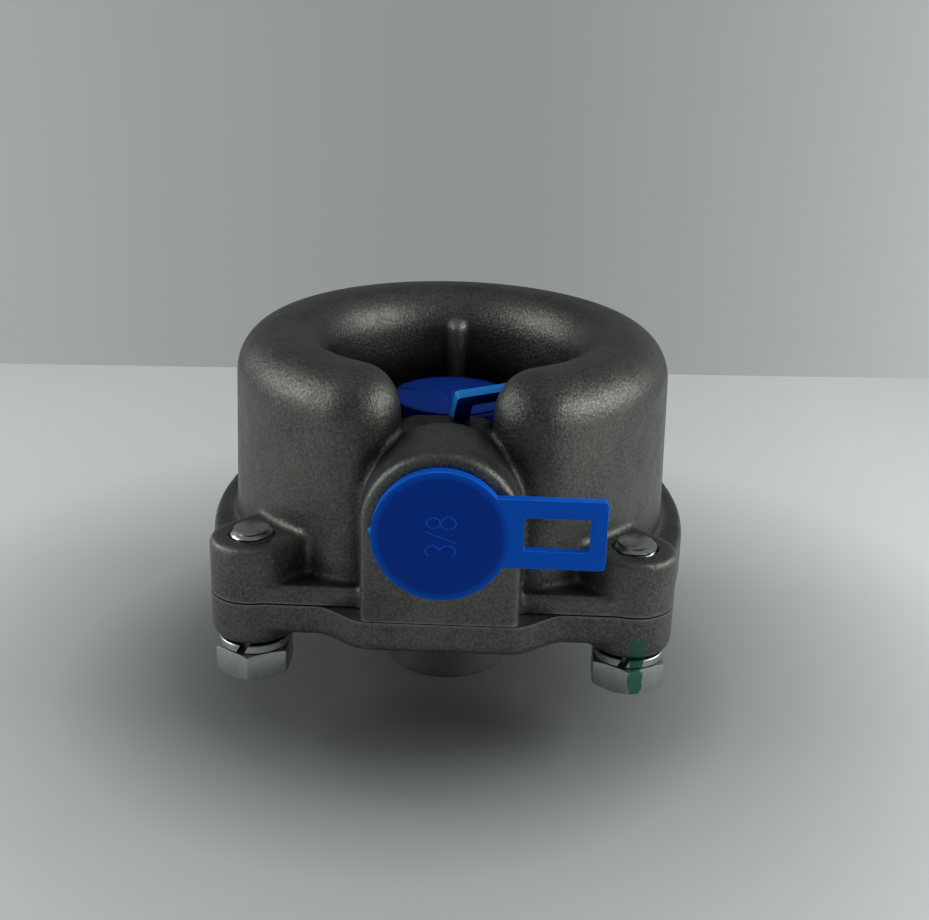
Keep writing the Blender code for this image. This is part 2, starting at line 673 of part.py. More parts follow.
def make_drain_motor():
    low = PISTON_LOW
    top = low + PISTON_LENGTH
    outer = CYLINDER_R - RUNNING
    groove_half = PISTON_SEAL_R + SEAT
    middle = (low + top) / 2
    ring_r = CYLINDER_R - PISTON_SEAL_GAP - PISTON_SEAL_R
    root = ring_r - PISTON_SEAL_R - SEAT
    recess = top - PISTON_RECESS
    edge = TURNED_EDGE
    groove_top, groove_low = middle + groove_half, middle - groove_half
    outline = [(PISTON_RECESS_R, top), (outer - edge, top), (outer, top - edge), (outer, groove_top),
               (root, groove_top), (root, groove_low), (outer, groove_low), (outer, low + edge),
               (outer - edge, low), (STEM_R + SEAT, low), (STEM_R + SEAT, recess), (PISTON_RECESS_R, recess)]
    shade_smooth(turned("control_piston", outline, 32, material=BRASS))
    seal_ring("piston_seal", ring_r, PISTON_SEAL_R, middle, 32, material=RUBBER)

    disc_top = DRAIN_SEAT_LOW - SEAT
    disc_low = disc_top - DRAIN_DISC_T
    nut_low = disc_low - SEAT - NUT_H
    collar_top = low - SEAT / 3
    collar_low = collar_top - STEM_COLLAR_T
    shoulder_low = disc_top + SEAT
    shoulder_top = shoulder_low + STEM_COLLAR_T
    piston_nut_low = recess + SEAT
    stem_top = piston_nut_low + NUT_H + STEM_STANDS_OUT
    stem_low = nut_low - 2 * edge
    stem = [(0, stem_top), (STEM_R - edge, stem_top), (STEM_R, stem_top - edge), (STEM_R, collar_top),
            (STEM_COLLAR_R, collar_top), (STEM_COLLAR_R, collar_low), (STEM_R, collar_low),
            (STEM_R, shoulder_top), (STEM_SHOULDER_R, shoulder_top), (STEM_SHOULDER_R, shoulder_low),
            (STEM_R, shoulder_low), (STEM_R, stem_low + edge), (STEM_R - edge, stem_low), (0, stem_low)]
    shade_smooth(turned("valve_stem", stem, 20, material=STEEL))
    make_nut("piston_nut", piston_nut_low)
    make_nut("drain_disc_nut", nut_low)
    disc = [(DRAIN_DISC_R, disc_top), (DRAIN_DISC_R, disc_low + edge), (DRAIN_DISC_R - edge, disc_low),
            (STEM_R + SEAT, disc_low), (STEM_R + SEAT, disc_top)]
    shade_smooth(turned("drain_disc", disc, 24, material=RUBBER))

    land_top = OUTLET_DEPTH + LAND_T
    flange_low = land_top + SEAT
    flange_top = flange_low + DRAIN_SEAT_FLANGE_T
    seat = [(DRAIN_SEAT_FLANGE_R, flange_top), (DRAIN_SEAT_FLANGE_R, flange_low), (DRAIN_SEAT_R, flange_low),
            (DRAIN_SEAT_R, DRAIN_SEAT_LOW), (DRAIN_HOLE_R, DRAIN_SEAT_LOW), (DRAIN_HOLE_R, flange_top)]
    shade_smooth(turned("drain_seat", seat, 32, material=BRASS))

    coil("return_spring", SPRING_R, SPRING_WIRE_R, flange_top + SEAT, low - SEAT, SPRING_TURNS,
         material=STEEL)


def make_nut(name, low):
    high = low + NUT_H
    chamfered, full = hexagon(NUT_FLATS, NUT_CHAMFER), hexagon(NUT_FLATS)
    nut = lofted(name, [(low, chamfered), (low + NUT_CHAMFER, full), (high - NUT_CHAMFER, full),
                        (high, chamfered)], material=ZINC)
    cut(nut, hole_cutter(name + "_hole", [(0, 0)], STEM_R + SEAT, low - 1, high + 1, 24))


# Inlet check valve and strainer

def make_check_valve():
    place = {"at": (0, CHECK_Y, 0)}
    disc_top, disc_low = CHECK_SEAT_Z - SEAT, CHECK_DISC_LOW
    outline = [(0, disc_top), (CHECK_DISC_R, disc_top), (CHECK_DISC_R, disc_low), (CHECK_PILOT_R, disc_low),
               (CHECK_PILOT_R, disc_low - CHECK_PILOT_H), (0, disc_low - CHECK_PILOT_H)]
    shade_smooth(turned("check_disc", outline, 24, material=RUBBER, **place))

    plate_low = PLATE_TOP - PLATE_T
    plate_r = CHECK_BORE_R - SEAT
    plate = turned("check_spring_plate", [(0, PLATE_TOP), (plate_r, PLATE_TOP), (plate_r, plate_low),
                                          (0, plate_low)], 32, material=STEEL, **place)
    spots = [(0, 0)] + spots_around(PLATE_HOLE_RING, PLATE_HOLES)
    cut(plate, hole_cutter("plate_holes", spots, PLATE_HOLE_R, plate_low - 1, PLATE_TOP + 1, 10, **place))

    coil("check_spring", CHECK_SPRING_R, CHECK_WIRE_R, PLATE_TOP + SEAT, disc_low - SEAT, CHECK_TURNS,
         material=STEEL, **place)

    ring_low = RING_GROOVE_LOW + SEAT / 2
    outer = CHECK_BORE_R + RING_GROOVE - SEAT
    start, end = -90 + RING_GAP_HALF, 270 - RING_GAP_HALF
    loop = arc(0, 0, outer, start, end, 24) + arc(0, 0, outer - RING_WIDTH, end, start, 24)
    lofted("retaining_ring", [(ring_low, loop), (ring_low + RING_T, loop)], material=STEEL, **place)


def make_strainer():
    back = BOSS_FACE - PORT_DEPTH + SEAT
    front = back + STRAINER_T
    radius = PORT_R - SEAT
    place = {"turn": FACE_FRONT, "at": (0, 0, PORT_Z)}
    disc = turned("inlet_strainer", [(0, front), (radius, front), (radius, back), (0, back)], 32,
                  material=BRASS, **place)
    spots = [(0, 0)]
    for row_r, count in STRAINER_ROWS:
        spots += spots_around(row_r, count)
    cut(disc, hole_cutter("strainer_holes", spots, STRAINER_HOLE_R, back - 1, front + 1, 8, **place))


# Cover seal

def make_cover_seal():
    z = COVER_TOP - GROOVE_DEPTH + SEAT + SEAL_SECTION_R
    seal_ring("cover_seal", SEAL_R, SEAL_SECTION_R, z, 48, material=RUBBER)


# Port plugs

def plug_outline(back):
    """A hollow plug along +Z, open at its inner end, with its flange's back face at back."""
    inner = PLUG_SHANK_R - PLUG_WALL
    front = back + PLUG_T
    end = back - PLUG_SHANK
    edge = PLUG_EDGE
    return [(0, front), (PLUG_R - edge, front), (PLUG_R, front - edge), (PLUG_R, back),
            (PLUG_SHANK_R, back), (PLUG_SHANK_R, end + 2 * edge), (PLUG_SHANK_R - edge, end),
            (inner, end), (inner, back), (0, back)]


def rounded_rectangle(x0, y0, x1, y1, radius):
    points = arc(x1 - radius, y0 + radius, radius, -90, 0, 3)
    points += arc(x1 - radius, y1 - radius, radius, 0, 90, 3)
    points += arc(x0 + radius, y1 - radius, radius, 90, 180, 3)
    points += arc(x0 + radius, y0 + radius, radius, 180, 270, 3)
    return points


def make_front_plug():
    place = {"turn": FACE_FRONT, "at": (0, 0, PORT_Z)}
    back = BOSS_FACE + SEAT
    front = back + PLUG_T
    plug = turned("front_port_plug", plug_outline(back), 40, material=BLUE, **place)
    half = TAB_WIDTH / 2
    tab = rounded_rectangle(PLUG_SHANK_R, TAB_RISE - half, TAB_REACH, TAB_RISE + half, TAB_CORNER)
    tab_front = front - TAB_DROP
    union(plug, lofted("front_tab", [(tab_front - TAB_T, tab), (tab_front, tab)], **place))
    window = rounded_rectangle(TAB_WINDOW_START, TAB_RISE - half + TAB_BAR, TAB_REACH - TAB_END_BAR,
                               TAB_RISE + half - TAB_BAR, TAB_CORNER / 2)
    cut(plug, lofted("front_window", [(back - 1, window), (front + 1, window)], **place))
    shade_smooth(plug)


def fold_back(tab, middle):
    """Bends a flat tab along +X up and back over itself. Its middle surface is at the height middle."""
    across = Vector((math.cos(FOLD_SKEW), math.sin(FOLD_SKEW), 0))
    length = FOLD_R * FOLD_BEND
    work = bmesh.new()
    work.from_mesh(tab.data)
    for i in range(FOLD_STEPS + 1):
        line = across * (FOLD_START + length * i / FOLD_STEPS) * MM
        bmesh.ops.bisect_plane(work, geom=work.verts[:] + work.edges[:] + work.faces[:],
                               plane_co=line, plane_no=across)
    for vert in work.verts:
        reach = vert.co.dot(across) / MM
        if reach <= FOLD_START:
            continue
        angle = min(reach - FOLD_START, length) / FOLD_R
        straight = max(reach - FOLD_START - length, 0)
        radius = FOLD_R + middle - vert.co.z / MM
        folded = FOLD_START + radius * math.sin(angle) + straight * math.cos(angle)
        vert.co += across * (folded - reach) * MM
        vert.co.z = (middle + FOLD_R - radius * math.cos(angle) + straight * math.sin(angle)) * MM
    bmesh.ops.triangulate(work, faces=work.faces[:])
    work.to_mesh(tab.data)
    work.free()


def make_top_plug():
    back = HUB_TOP + SEAT
    front = back + PLUG_T
    plug = turned("top_port_plug", plug_outline(back), 40, material=BLUE)
    middle = front - TAB_DROP - TAB_T / 2
    half = TAB_WIDTH / 2
    bar = half - TAB_BAR
    place = {"turn": (0, 0, TOP_TAB_TURN)}
    outline = rounded_rectangle(PLUG_SHANK_R, -half, TAB_REACH, half, TAB_CORNER)
    tab = lofted("top_tab", [(middle - TAB_T / 2, outline), (middle + TAB_T / 2, outline)], **place)
    outline = rounded_rectangle(TAB_WINDOW_START, -bar, TAB_REACH - TAB_END_BAR, bar, TAB_CORNER / 2)
    window = lofted("top_window", [(middle - TAB_T, outline), (middle + TAB_T, outline)], **place)
    fold_back(tab, middle)
    fold_back(window, middle)
    cut(tab, window)
    union(plug, tab)
    shade_smooth(plug)


make_housing()
make_cover()
make_bolts()
make_drain_motor()
make_check_valve()
make_strainer()
make_cover_seal()
make_front_plug()
make_top_plug()
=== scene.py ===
"""Dresses the automatic drain valve: soft castings, plated bolts and blue port plugs.

Sizes are in millimetres about the valve's own axis, as in the part's source, and every finished piece
is moved to the shared frame by settle.
"""

import math

import bmesh
import bpy
from mathutils import Matrix, Vector


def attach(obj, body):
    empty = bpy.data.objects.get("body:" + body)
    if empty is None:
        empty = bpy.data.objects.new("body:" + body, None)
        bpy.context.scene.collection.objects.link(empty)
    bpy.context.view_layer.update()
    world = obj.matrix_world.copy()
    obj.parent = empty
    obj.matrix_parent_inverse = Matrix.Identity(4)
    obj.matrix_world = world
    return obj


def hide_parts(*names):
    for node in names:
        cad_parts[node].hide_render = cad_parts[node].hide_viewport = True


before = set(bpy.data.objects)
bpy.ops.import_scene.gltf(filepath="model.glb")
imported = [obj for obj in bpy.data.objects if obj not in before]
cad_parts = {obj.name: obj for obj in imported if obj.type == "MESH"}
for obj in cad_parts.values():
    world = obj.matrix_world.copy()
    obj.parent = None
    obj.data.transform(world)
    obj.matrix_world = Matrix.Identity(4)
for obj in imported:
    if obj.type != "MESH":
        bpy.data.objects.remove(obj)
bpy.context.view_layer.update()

MM = 0.001
AXIS_Y = 1.45          # the valve's axis in the shared frame

# Clearances and overlaps
SEAT = 0.3             # between pieces that sit on each other
HEAD_SEAT = 0.15       # between a bolt's head and its washer
OVERRUN = 3.0          # how far cut solids run past the face that trims them
STAGGER = 0.2          # keeps the ends of neighbouring cut solids out of one plane
SINK = 2.0             # how far a form runs into the one that it stands on

# Housing
JOINT_TOP = 30.85              # the housing's joint face
JOINT_LOW = JOINT_TOP - SEAT   # the cover's joint face
TOP_Z = 72.2
FLOOR_TOP = 44.0
WALL = 3.8
FLANGE_T = 3.4
RING_OUTER_R = 43.4
RING_INNER_R = 24.4
DRAFT = 0.025
SLOT_HALF = 7.5
OUTER_ROUND = 8.4
INNER_ROUND = 6.4
RING_MID_R = (RING_OUTER_R + RING_INNER_R) / 2
NOSE_R = (RING_OUTER_R - RING_INNER_R) / 2
DRUM_R = RING_MID_R + SINK
FLANGE_REACH = 47.5
FLANGE_BULGE_R = 80.0
FLANGE_FRONT = 42.2
FLANGE_EDGE = 0.7

# Lugs and bolts
BOLT_XY = 35.0
LUG_R = 7.7
LUG_TOP = 41.3
LUG_EDGE = 1.1
BOLT_R = 4.0
BOLT_TIP = 42.6
THREAD_PITCH = 1.25
THREAD_DEPTH = 0.55
THREAD_LENGTH = 7.5
POINT_CHAMFER = 0.75
POINT_EDGE = 0.12
POINT_FLAT = 0.2
HEAD_FLATS = 13.0
HEAD_H = 5.3
HEAD_TURN = 28
HEAD_EDGE = 0.12
CHAMFER_IN = 0.15      # the chamfers meet the head's ends this far inside or outside the flats
CHAMFER_SLOPE = 0.55
BEARING_SLOPE = 0.3
WASHER_T = 1.5
WASHER_R = 6.5
WASHER_EDGE = 0.15
WASHER_SPLIT = 1.6
WASHER_LEAN = 0.9
WASHER_TURN = math.radians(-12)

# Boss, hub and ports
BOSS_HALF = 14.2
BOSS_FACE = 47.9
BOSS_LENGTH = 16.8
BOSS_EDGE = 1.2
PORT_Z = 48.8
PORT_R = 7.45
PORT_DEPTH = 12.0
PORT_THREAD_PITCH = 1.337
PASSAGE_R = 4.5
PIPE_EDGE = 2.0
SADDLE_END = 20.4      # the saddle over the pipe ends here, between boss and hub
SADDLE_TOP = 60.5
SADDLE_HALF = 10.5
SADDLE_ROUND = 5.5
HUB_R = 13.8
HUB_TOP = 55.0
HUB_EDGE = 0.8
TOP_PORT_DEPTH = 11.5
CONTROL_HOLE_R = 2.5
RIB_R = 1.8
RIB_TOP = 66.0
CYLINDER_R = 10.0
CYLINDER_TOP = 41.9
HUB_FOOT = 31.2
CHECK_Y = -27.0
CHECK_BORE_R = 6.8
CHECK_BOSS_R = 9.8
CHECK_BOSS_FOOT = 31.25
CHECK_SEAT_Z = 42.2
CHECK_HOLE_R = 3.5

# Cover
COVER_RIM_T = 6.3
COVER_EDGE = 2.0
COVER_FRONT = 47.6
BULGE_HALF = 13.0
BULGE_FOOT = 23.0
BULGE_SINK = 0.2
COVER_FLOOR_T = 3.1
COVER_LUG_T = 8.9
COVER_LUG_EDGE = 2.5
COVER_HOLE_R = 4.5
WASHER_LOW = JOINT_LOW - COVER_LUG_T - SEAT - WASHER_T
HEAD_TOP = WASHER_LOW - HEAD_SEAT
HEAD_LOW = HEAD_TOP - HEAD_H
DISH_R = 36.0
NECK_R = 12.3
NECK_FLARE_R = 21.0
NECK_FLARE_H = 8.0
NECK_DRAFT = 0.045
OUTLET_DEPTH = 12.0
OUTLET_CHAMFER = 1.3
LAND_TOP = 16.3
CHAMBER_R = 10.5
DRAIN_SEAT_R = 6.45
SEAL_R = 41.7
GROOVE_HALF = 1.4
GROOVE_DEPTH = 2.25

# Plugs
PLUG_R = 11.95
PLUG_T = 2.2
PLUG_SHANK_R = 7.1
PLUG_SHANK = 8.5
PLUG_WALL = 1.2
PLUG_WEB = 0.4         # how far the hollow shank reaches into the disc
SHANK_LEAD = (1.0, 0.5)
FRONT_PLUG_EDGE = 0.35
TOP_PLUG_EDGE = 0.3
RIM_GLOW = 1.5         # width of the disc's paler rim
NUB_R = 0.5
NUB_H = 0.55
NUB_EDGE = 0.1
NUB_OUT = 0.02
NUB_RISE = 0.4
NUB_UP = 1.0
TAB_REACH = 28.3
TAB_WIDTH = 12.7
TAB_T = 1.8
TAB_DROP = 0.2
TAB_RISE = 1.1
TAB_BAR = 3.3
TAB_END_BAR = 2.8
TAB_CORNER = 0.8
TAB_WINDOW_START = 14.15
TOP_TAB_TURN = math.radians(-71)   # the top plug's tab points to the front
BEND_SKEW = math.radians(4.6)      # and is bent up in the slot along a line askew to it
BEND_START = 12.3
BEND_R = 9.0
BEND_ANGLE = math.radians(57)
BEND_STEPS = 14
MARK_HEIGHT = 5.2
MARK_LINE = 0.26

# Green marking paint on the front right bolt, its washer and the cover's lug
PAINTED_BOLT = 4
PAINT_X = 35.9
PAINT_HALF = 1.25
PAINT_Y = -38.0        # in front of this
PAINT_TOP = 26.6

# Rust on the boss; painted shade in the castings' corners and recess, and a painted floor reflection on the
# neck
RUST_SPOT = (-12.0, -47.9, 32.0)
RUST_REACH = 7.0
CORNER_REACH = 9.0
RECESS_DARK_TOP = SADDLE_TOP - 3 * SINK
NECK_REFLECTION_TOP = NECK_FLARE_H + 2 * SINK

# How finely the castings' skins are made
HOUSING_SKIN = 0.62
COVER_SKIN = 0.55
SOFTEN_PASSES = 5
HOLLOW_STEPS = (48, 32, 10)

# Table and backdrop, in metres
TABLE_HALF = 1.2
TABLE_EDGE = 0.1995
TABLE_TURN = math.radians(3.4)
TABLE_DROP = 0.0002
BACKDROP_Y = 0.62
BACKDROP_SIZE = 5
COOL_GREY = (0.95, 1.0, 1.0)
# SHADOW_MIDDLE is the middle of the painted shadow beneath the valve
SHADOW_MIDDLE = (-10.0, -10.0, 0)       # in millimetres

# Camera, solved from the photo
PHOTO_WIDTH = 929
FOCAL_LENGTH = 1395                     # in the photo's pixels
SENSOR = 36
CAMERA_PITCH = math.radians(21.24)
CAMERA_YAW = math.radians(-1.056)
CAMERA_ROLL = math.radians(1.645)
CAMERA_REACH = 285.9
CAMERA_AIM = (2.813, AXIS_Y, 43.51)

UPRIGHT = Matrix.Identity(4)
TO_FRONT = Matrix.Rotation(math.pi / 2, 4, "X")     # turns +Z to -Y


# Selecting, joining and cutting

def pick(*pieces):
    """Selects only these pieces, in object mode, with the first one active."""
    if bpy.context.object and bpy.context.object.mode != "OBJECT":
        bpy.ops.object.mode_set(mode="OBJECT")
    bpy.ops.object.select_all(action="DESELECT")
    for piece in pieces:
        piece.select_set(True)
    bpy.context.view_layer.objects.active = pieces[0]


def edit(piece):
    pick(piece)
    bpy.ops.object.mode_set(mode="EDIT")
    bpy.ops.mesh.select_all(action="SELECT")


def apply_modifiers(piece):
    pick(piece)
    for modifier in list(piece.modifiers):
        bpy.ops.object.modifier_apply(modifier=modifier.name)


def merge(piece, *others):
    pick(piece, *others)
    bpy.ops.object.join()
    return piece


def combine(piece, operation, *tools):
    """Adds or cuts each tool and then removes it."""
    for tool in tools:
        step = piece.modifiers.new(tool.name, "BOOLEAN")
        step.operation = operation
        step.object = tool
        step.solver = "EXACT"
        step.material_mode = "TRANSFER"
        apply_modifiers(piece)
        bpy.data.objects.remove(tool, do_unlink=True)
    return piece


def unite(piece, *tools):
    return combine(piece, "UNION", *tools)


def cut(piece, *tools):
    return combine(piece, "DIFFERENCE", *tools)


def bevel(piece, width, segments=2, angle=30, edge_slot=-1):
    step = piece.modifiers.new("edges", "BEVEL")
    step.width = width * MM
    step.segments = segments
    step.limit_method = "ANGLE"
    step.angle_limit = math.radians(angle)
    step.material = edge_slot
    step.harden_normals = False
    apply_modifiers(piece)


def smooth_by_angle(piece, angle=35):
    pick(piece)
    bpy.ops.object.shade_smooth_by_angle(angle=math.radians(angle))


def settle(piece, body, slot, *nodes):
    """Moves a finished piece to the shared frame and lets it stand for its CAD nodes."""
    pick(piece)
    piece.location.y += AXIS_Y * MM
    bpy.ops.object.transform_apply(location=True, rotation=True, scale=True)
    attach(piece, body)
    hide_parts(*nodes)
    return piece


# Forms

def arc(cx, cy, radius, start, end, steps):
    angles = [math.radians(start + (end - start) * i / steps) for i in range(steps + 1)]
    return [(cx + radius * math.cos(a), cy + radius * math.sin(a)) for a in angles]


def edge_rounding(top, radius, steps):
    """Pairs of (height, inset) up a rounded edge that ends at the height top."""
    angles = [math.pi / 2 * i / steps for i in range(steps + 1)]
    return [(top - radius * (1 - math.sin(a)), radius * (1 - math.cos(a))) for a in angles]


def rounded_below(outline, low, radius, high, steps=5):
    """Loops of outline(inset) from a rounded lower edge up to the height high."""
    below = [(2 * low + radius - z, inset) for z, inset in edge_rounding(low + radius, radius, steps)]
    return [(z, outline(inset)) for z, inset in reversed(below)] + [(high, outline(0))]


def lofted(name, loops, place=UPRIGHT):
    """A filled circle takes the lowest outline and is extruded to each higher one."""
    bpy.ops.object.select_all(action="DESELECT")
    z, corners = loops[0]
    bpy.ops.mesh.primitive_circle_add(vertices=len(corners), radius=MM, fill_type="NGON")
    piece = bpy.context.object
    piece.name = name
    for vertex, (x, y) in zip(piece.data.vertices, corners):
        vertex.co = Vector((x, y, z)) * MM
    edit(piece)
    for next_z, next_corners in loops[1:]:
        before = [Vector((x, y, z)) * MM for x, y in corners]
        bpy.ops.mesh.extrude_region_move()
        mesh = bmesh.from_edit_mesh(piece.data)
        lid = next(face for face in mesh.faces if face.select)
        ring = list(lid.verts)
        start = min(range(len(ring)), key=lambda i: (ring[i].co - before[0]).length)
        ring = ring[start:] + ring[:start]
        if (ring[1].co - before[1]).length > (ring[-1].co - before[1]).length:
            ring = ring[:1] + ring[:0:-1]
        for vertex, (x, y) in zip(ring, next_corners):
            vertex.co = Vector((x, y, next_z)) * MM
        bmesh.update_edit_mesh(piece.data)
        z, corners = next_z, next_corners
    bpy.ops.mesh.select_all(action="SELECT")
    bpy.ops.mesh.normals_make_consistent(inside=False)
    bpy.ops.object.mode_set(mode="OBJECT")
    piece.data.transform(place)
    return piece


def turned(name, section, steps, place=UPRIGHT):
    """A closed half-section of (radius, height) is spun right round the Z axis."""
    bpy.ops.object.select_all(action="DESELECT")
    bpy.ops.mesh.primitive_circle_add(vertices=len(section), radius=MM, fill_type="NOTHING")
    piece = bpy.context.object
    piece.name = name
    for vertex, (radius, height) in zip(piece.data.vertices, section):
        vertex.co = Vector((radius, 0, height)) * MM
    edit(piece)
    bpy.ops.mesh.spin(steps=steps, angle=2 * math.pi, center=(0, 0, 0), axis=(0, 0, 1))
    bpy.ops.mesh.select_all(action="SELECT")
    bpy.ops.mesh.remove_doubles(threshold=MM / 500)
    bpy.ops.mesh.delete_loose(use_verts=True, use_edges=True, use_faces=False)
    bpy.ops.mesh.select_all(action="SELECT")
    bpy.ops.mesh.normals_make_consistent(inside=False)
    bpy.ops.object.mode_set(mode="OBJECT")
    piece.data.transform(place)
    return piece


def rod(name, radius, low, high, steps=24, place=UPRIGHT):
    return turned(name, [(0, high), (radius, high), (radius, low), (0, low)], steps, place)


def block(name, low, high):
    corners = [(low[0], low[1]), (high[0], low[1]), (high[0], high[1]), (low[0], high[1])]
    return lofted(name, [(low[2], corners), (high[2], corners)])


def shift(x, y, z):
    return Matrix.Translation(Vector((x, y, z)) * MM)


def soften(piece, skin, passes):
    """Melts overlapping forms into one skin with the soft corners of a casting."""
    remesh = piece.modifiers.new("skin", "REMESH")
    remesh.mode = "VOXEL"
    remesh.voxel_size = skin * MM
    smooth = piece.modifiers.new("soften", "SMOOTH")
    smooth.factor = 0.5
    smooth.iterations = passes
    apply_modifiers(piece)


def trim(piece, height, keep_above):
    """Cuts a piece flat at the height and fills the cut."""
    edit(piece)
    bpy.ops.mesh.bisect(plane_co=(0, 0, height * MM), plane_no=(0, 0, 1), use_fill=True,
                        clear_inner=keep_above, clear_outer=not keep_above)
    bpy.ops.object.mode_set(mode="OBJECT")


# Outlines, as in the part's source

def ring_outline(outer_in, inner_in, outer_steps=110, inner_steps=70, nose_steps=20):
    outer = RING_OUTER_R - outer_in
    inner = RING_INNER_R + inner_in
    half = math.degrees(math.asin((SLOT_HALF + NOSE_R) / RING_MID_R))
    start, end = -90 + half, 270 - half
    middle, nose = (outer + inner) / 2, (outer - inner) / 2

    def nose_centre(angle):
        a = math.radians(angle)
        return middle * math.cos(a), middle * math.sin(a)

    points = arc(0, 0, outer, start, end, outer_steps)[:-1]
    points += arc(*nose_centre(end), nose, end, end + 180, nose_steps)[:-1]
    points += arc(0, 0, inner, end, start, inner_steps)[:-1]
    points += arc(*nose_centre(start), nose, start + 180, start + 360, nose_steps)[:-1]
    return points


def ring_form(name, wall, top, outer_round, inner_round, rounding_steps, *plan_steps):
    """The C-shaped ring with full-round noses, or, drawn in by the wall, the sump inside it."""
    def loop_at(z, share):
        inset = wall + DRAFT * (z - JOINT_TOP)
        return z, ring_outline(inset + outer_round * share, inset + inner_round * share, *plan_steps)

    rounding = max(outer_round, inner_round)
    loops = [loop_at(JOINT_TOP - OVERRUN, 0.0)]
    loops += [loop_at(z, drawn_in / rounding) for z, drawn_in in edge_rounding(top, rounding, rounding_steps)]
    return lofted(name, loops)


def flange_outline(inset):
    """The joint flange: three bulged sides, and a straight front."""
    reach, radius = FLANGE_REACH - inset, FLANGE_BULGE_R - inset
    centre = reach - radius
    corner = (centre + math.sqrt(2 * radius ** 2 - centre ** 2)) / 2
    rear_half = math.degrees(math.asin(corner / radius))
    front_half = math.degrees(math.asin((FLANGE_FRONT - inset) / radius))
    points = arc(centre, 0, radius, -front_half, rear_half, 24)
    points += arc(0, centre, radius, 90 - rear_half, 90 + rear_half, 24)[1:]
    points += arc(-centre, 0, radius, 180 - rear_half, 180 + front_half, 24)[1:]
    return points


def lug_outline(inset):
    radius = LUG_R - inset
    centre = BOLT_XY * math.sqrt(2)
    return [(RING_MID_R, -radius)] + arc(centre, 0, radius, -90, 90, 24) + [(RING_MID_R, radius)]


def pad_outline(inset):
    """A cover lug's pad, a stadium that points away from the axis."""
    radius = LUG_R - inset
    centre = BOLT_XY * math.sqrt(2)
    return arc(centre, 0, radius, -90, 90, 24) + arc(centre - LUG_R, 0, radius, 90, 270, 16)


def boss_outline(inset):
    half = BOSS_HALF - inset
    low = JOINT_TOP - OVERRUN
    return [(half, low)] + arc(0, PORT_Z, half, 0, 180, 40) + [(-half, low)]


def front_outline(inset):
    """The cover's front, which swells out in an S-curve below the port boss."""
    start = FLANGE_FRONT - BULGE_SINK
    steps = 16
    side = []
    for i in range(steps + 1):
        t = i / steps
        reach = start + (COVER_FRONT - start) * t * t * (3 - 2 * t)
        side.append((BULGE_FOOT + (BULGE_HALF - BULGE_FOOT) * t, inset - reach))
    rear = -FLANGE_FRONT / 2
    return [(BULGE_FOOT, rear), (-BULGE_FOOT, rear)] + [(-x, y) for x, y in side] + side[::-1]


def lug_turns():
    return [Matrix.Rotation(math.radians(45 + 90 * k), 4, "Z") for k in range(4)]


def bolt_spots():
    return [(BOLT_XY * sx, BOLT_XY * sy) for sx, sy in ((1, 1), (-1, 1), (-1, -1), (1, -1))]


# Finishes

def start_finish(name, colour, roughness, metallic):
    made = bpy.data.materials.new(name)
    made.use_nodes = True
    shader = made.node_tree.nodes["Principled BSDF"]
    shader.inputs["Base Color"].default_value = (*colour, 1)
    shader.inputs["Roughness"].default_value = roughness
    shader.inputs["Metallic"].default_value = metallic
    return made, shader


def finish_with(piece, *finishes):
    piece.data.materials.clear()
    for finish in finishes:
        piece.data.materials.append(finish)


def node(finish, kind, **settings):
    made = finish.node_tree.nodes.new("ShaderNode" + kind)
    for key, value in settings.items():
        setattr(made, key, value)
    return made


def link(finish, output, socket):
    finish.node_tree.links.new(output, socket)


def noise(finish, scale, detail=3.0, roughness=0.5, stretch=None):
    """Noise over the piece's own coordinates. One feature is about 1 / scale metres."""
    place = node(finish, "TexCoord").outputs["Object"]
    if stretch:
        mapping = node(finish, "Mapping")
        mapping.inputs["Scale"].default_value = stretch
        link(finish, place, mapping.inputs["Vector"])
        place = mapping.outputs["Vector"]
    made = node(finish, "TexNoise")
    made.inputs["Scale"].default_value = scale
    made.inputs["Detail"].default_value = detail
    made.inputs["Roughness"].default_value = roughness
    link(finish, place, made.inputs["Vector"])
    return made.outputs["Fac"]


def ranged(finish, value, low, high, to_low, to_high):
    made = node(finish, "MapRange")
    for key, number in (("From Min", low), ("From Max", high), ("To Min", to_low), ("To Max", to_high)):
        made.inputs[key].default_value = number
    link(finish, value, made.inputs["Value"])
    return made.outputs["Result"]


def blend_colours(finish, share, first, second):
    """first and second are colours or outputs."""
    made = node(finish, "Mix", data_type="RGBA")
    link(finish, share, made.inputs["Factor"])
    for socket, value in ((made.inputs[6], first), (made.inputs[7], second)):
        if isinstance(value, tuple):
            socket.default_value = (*value, 1)
        else:
            link(finish, value, socket)
    return made.outputs[2]


def arithmetic(finish, operation, first, second):
    made = node(finish, "Math", operation=operation, use_clamp=operation == "MULTIPLY")
    link(finish, first, made.inputs[0])
    if isinstance(second, float):
        made.inputs[1].default_value = second
    else:
        link(finish, second, made.inputs[1])
    return made.outputs["Value"]


def bump(finish, height, strength, depth, over=None):
    made = node(finish, "Bump")
    made.inputs["Strength"].default_value = strength
    made.inputs["Distance"].default_value = depth * MM
    link(finish, height, made.inputs["Height"])
    if over:
        link(finish, over, made.inputs["Normal"])
    return made.outputs["Normal"]


def place_along(finish, axis):
    """The piece's own X, Y or Z, in metres."""
    place = node(finish, "SeparateXYZ")
    link(finish, node(finish, "TexCoord").outputs["Object"], place.inputs["Vector"])
    return place.outputs[axis]


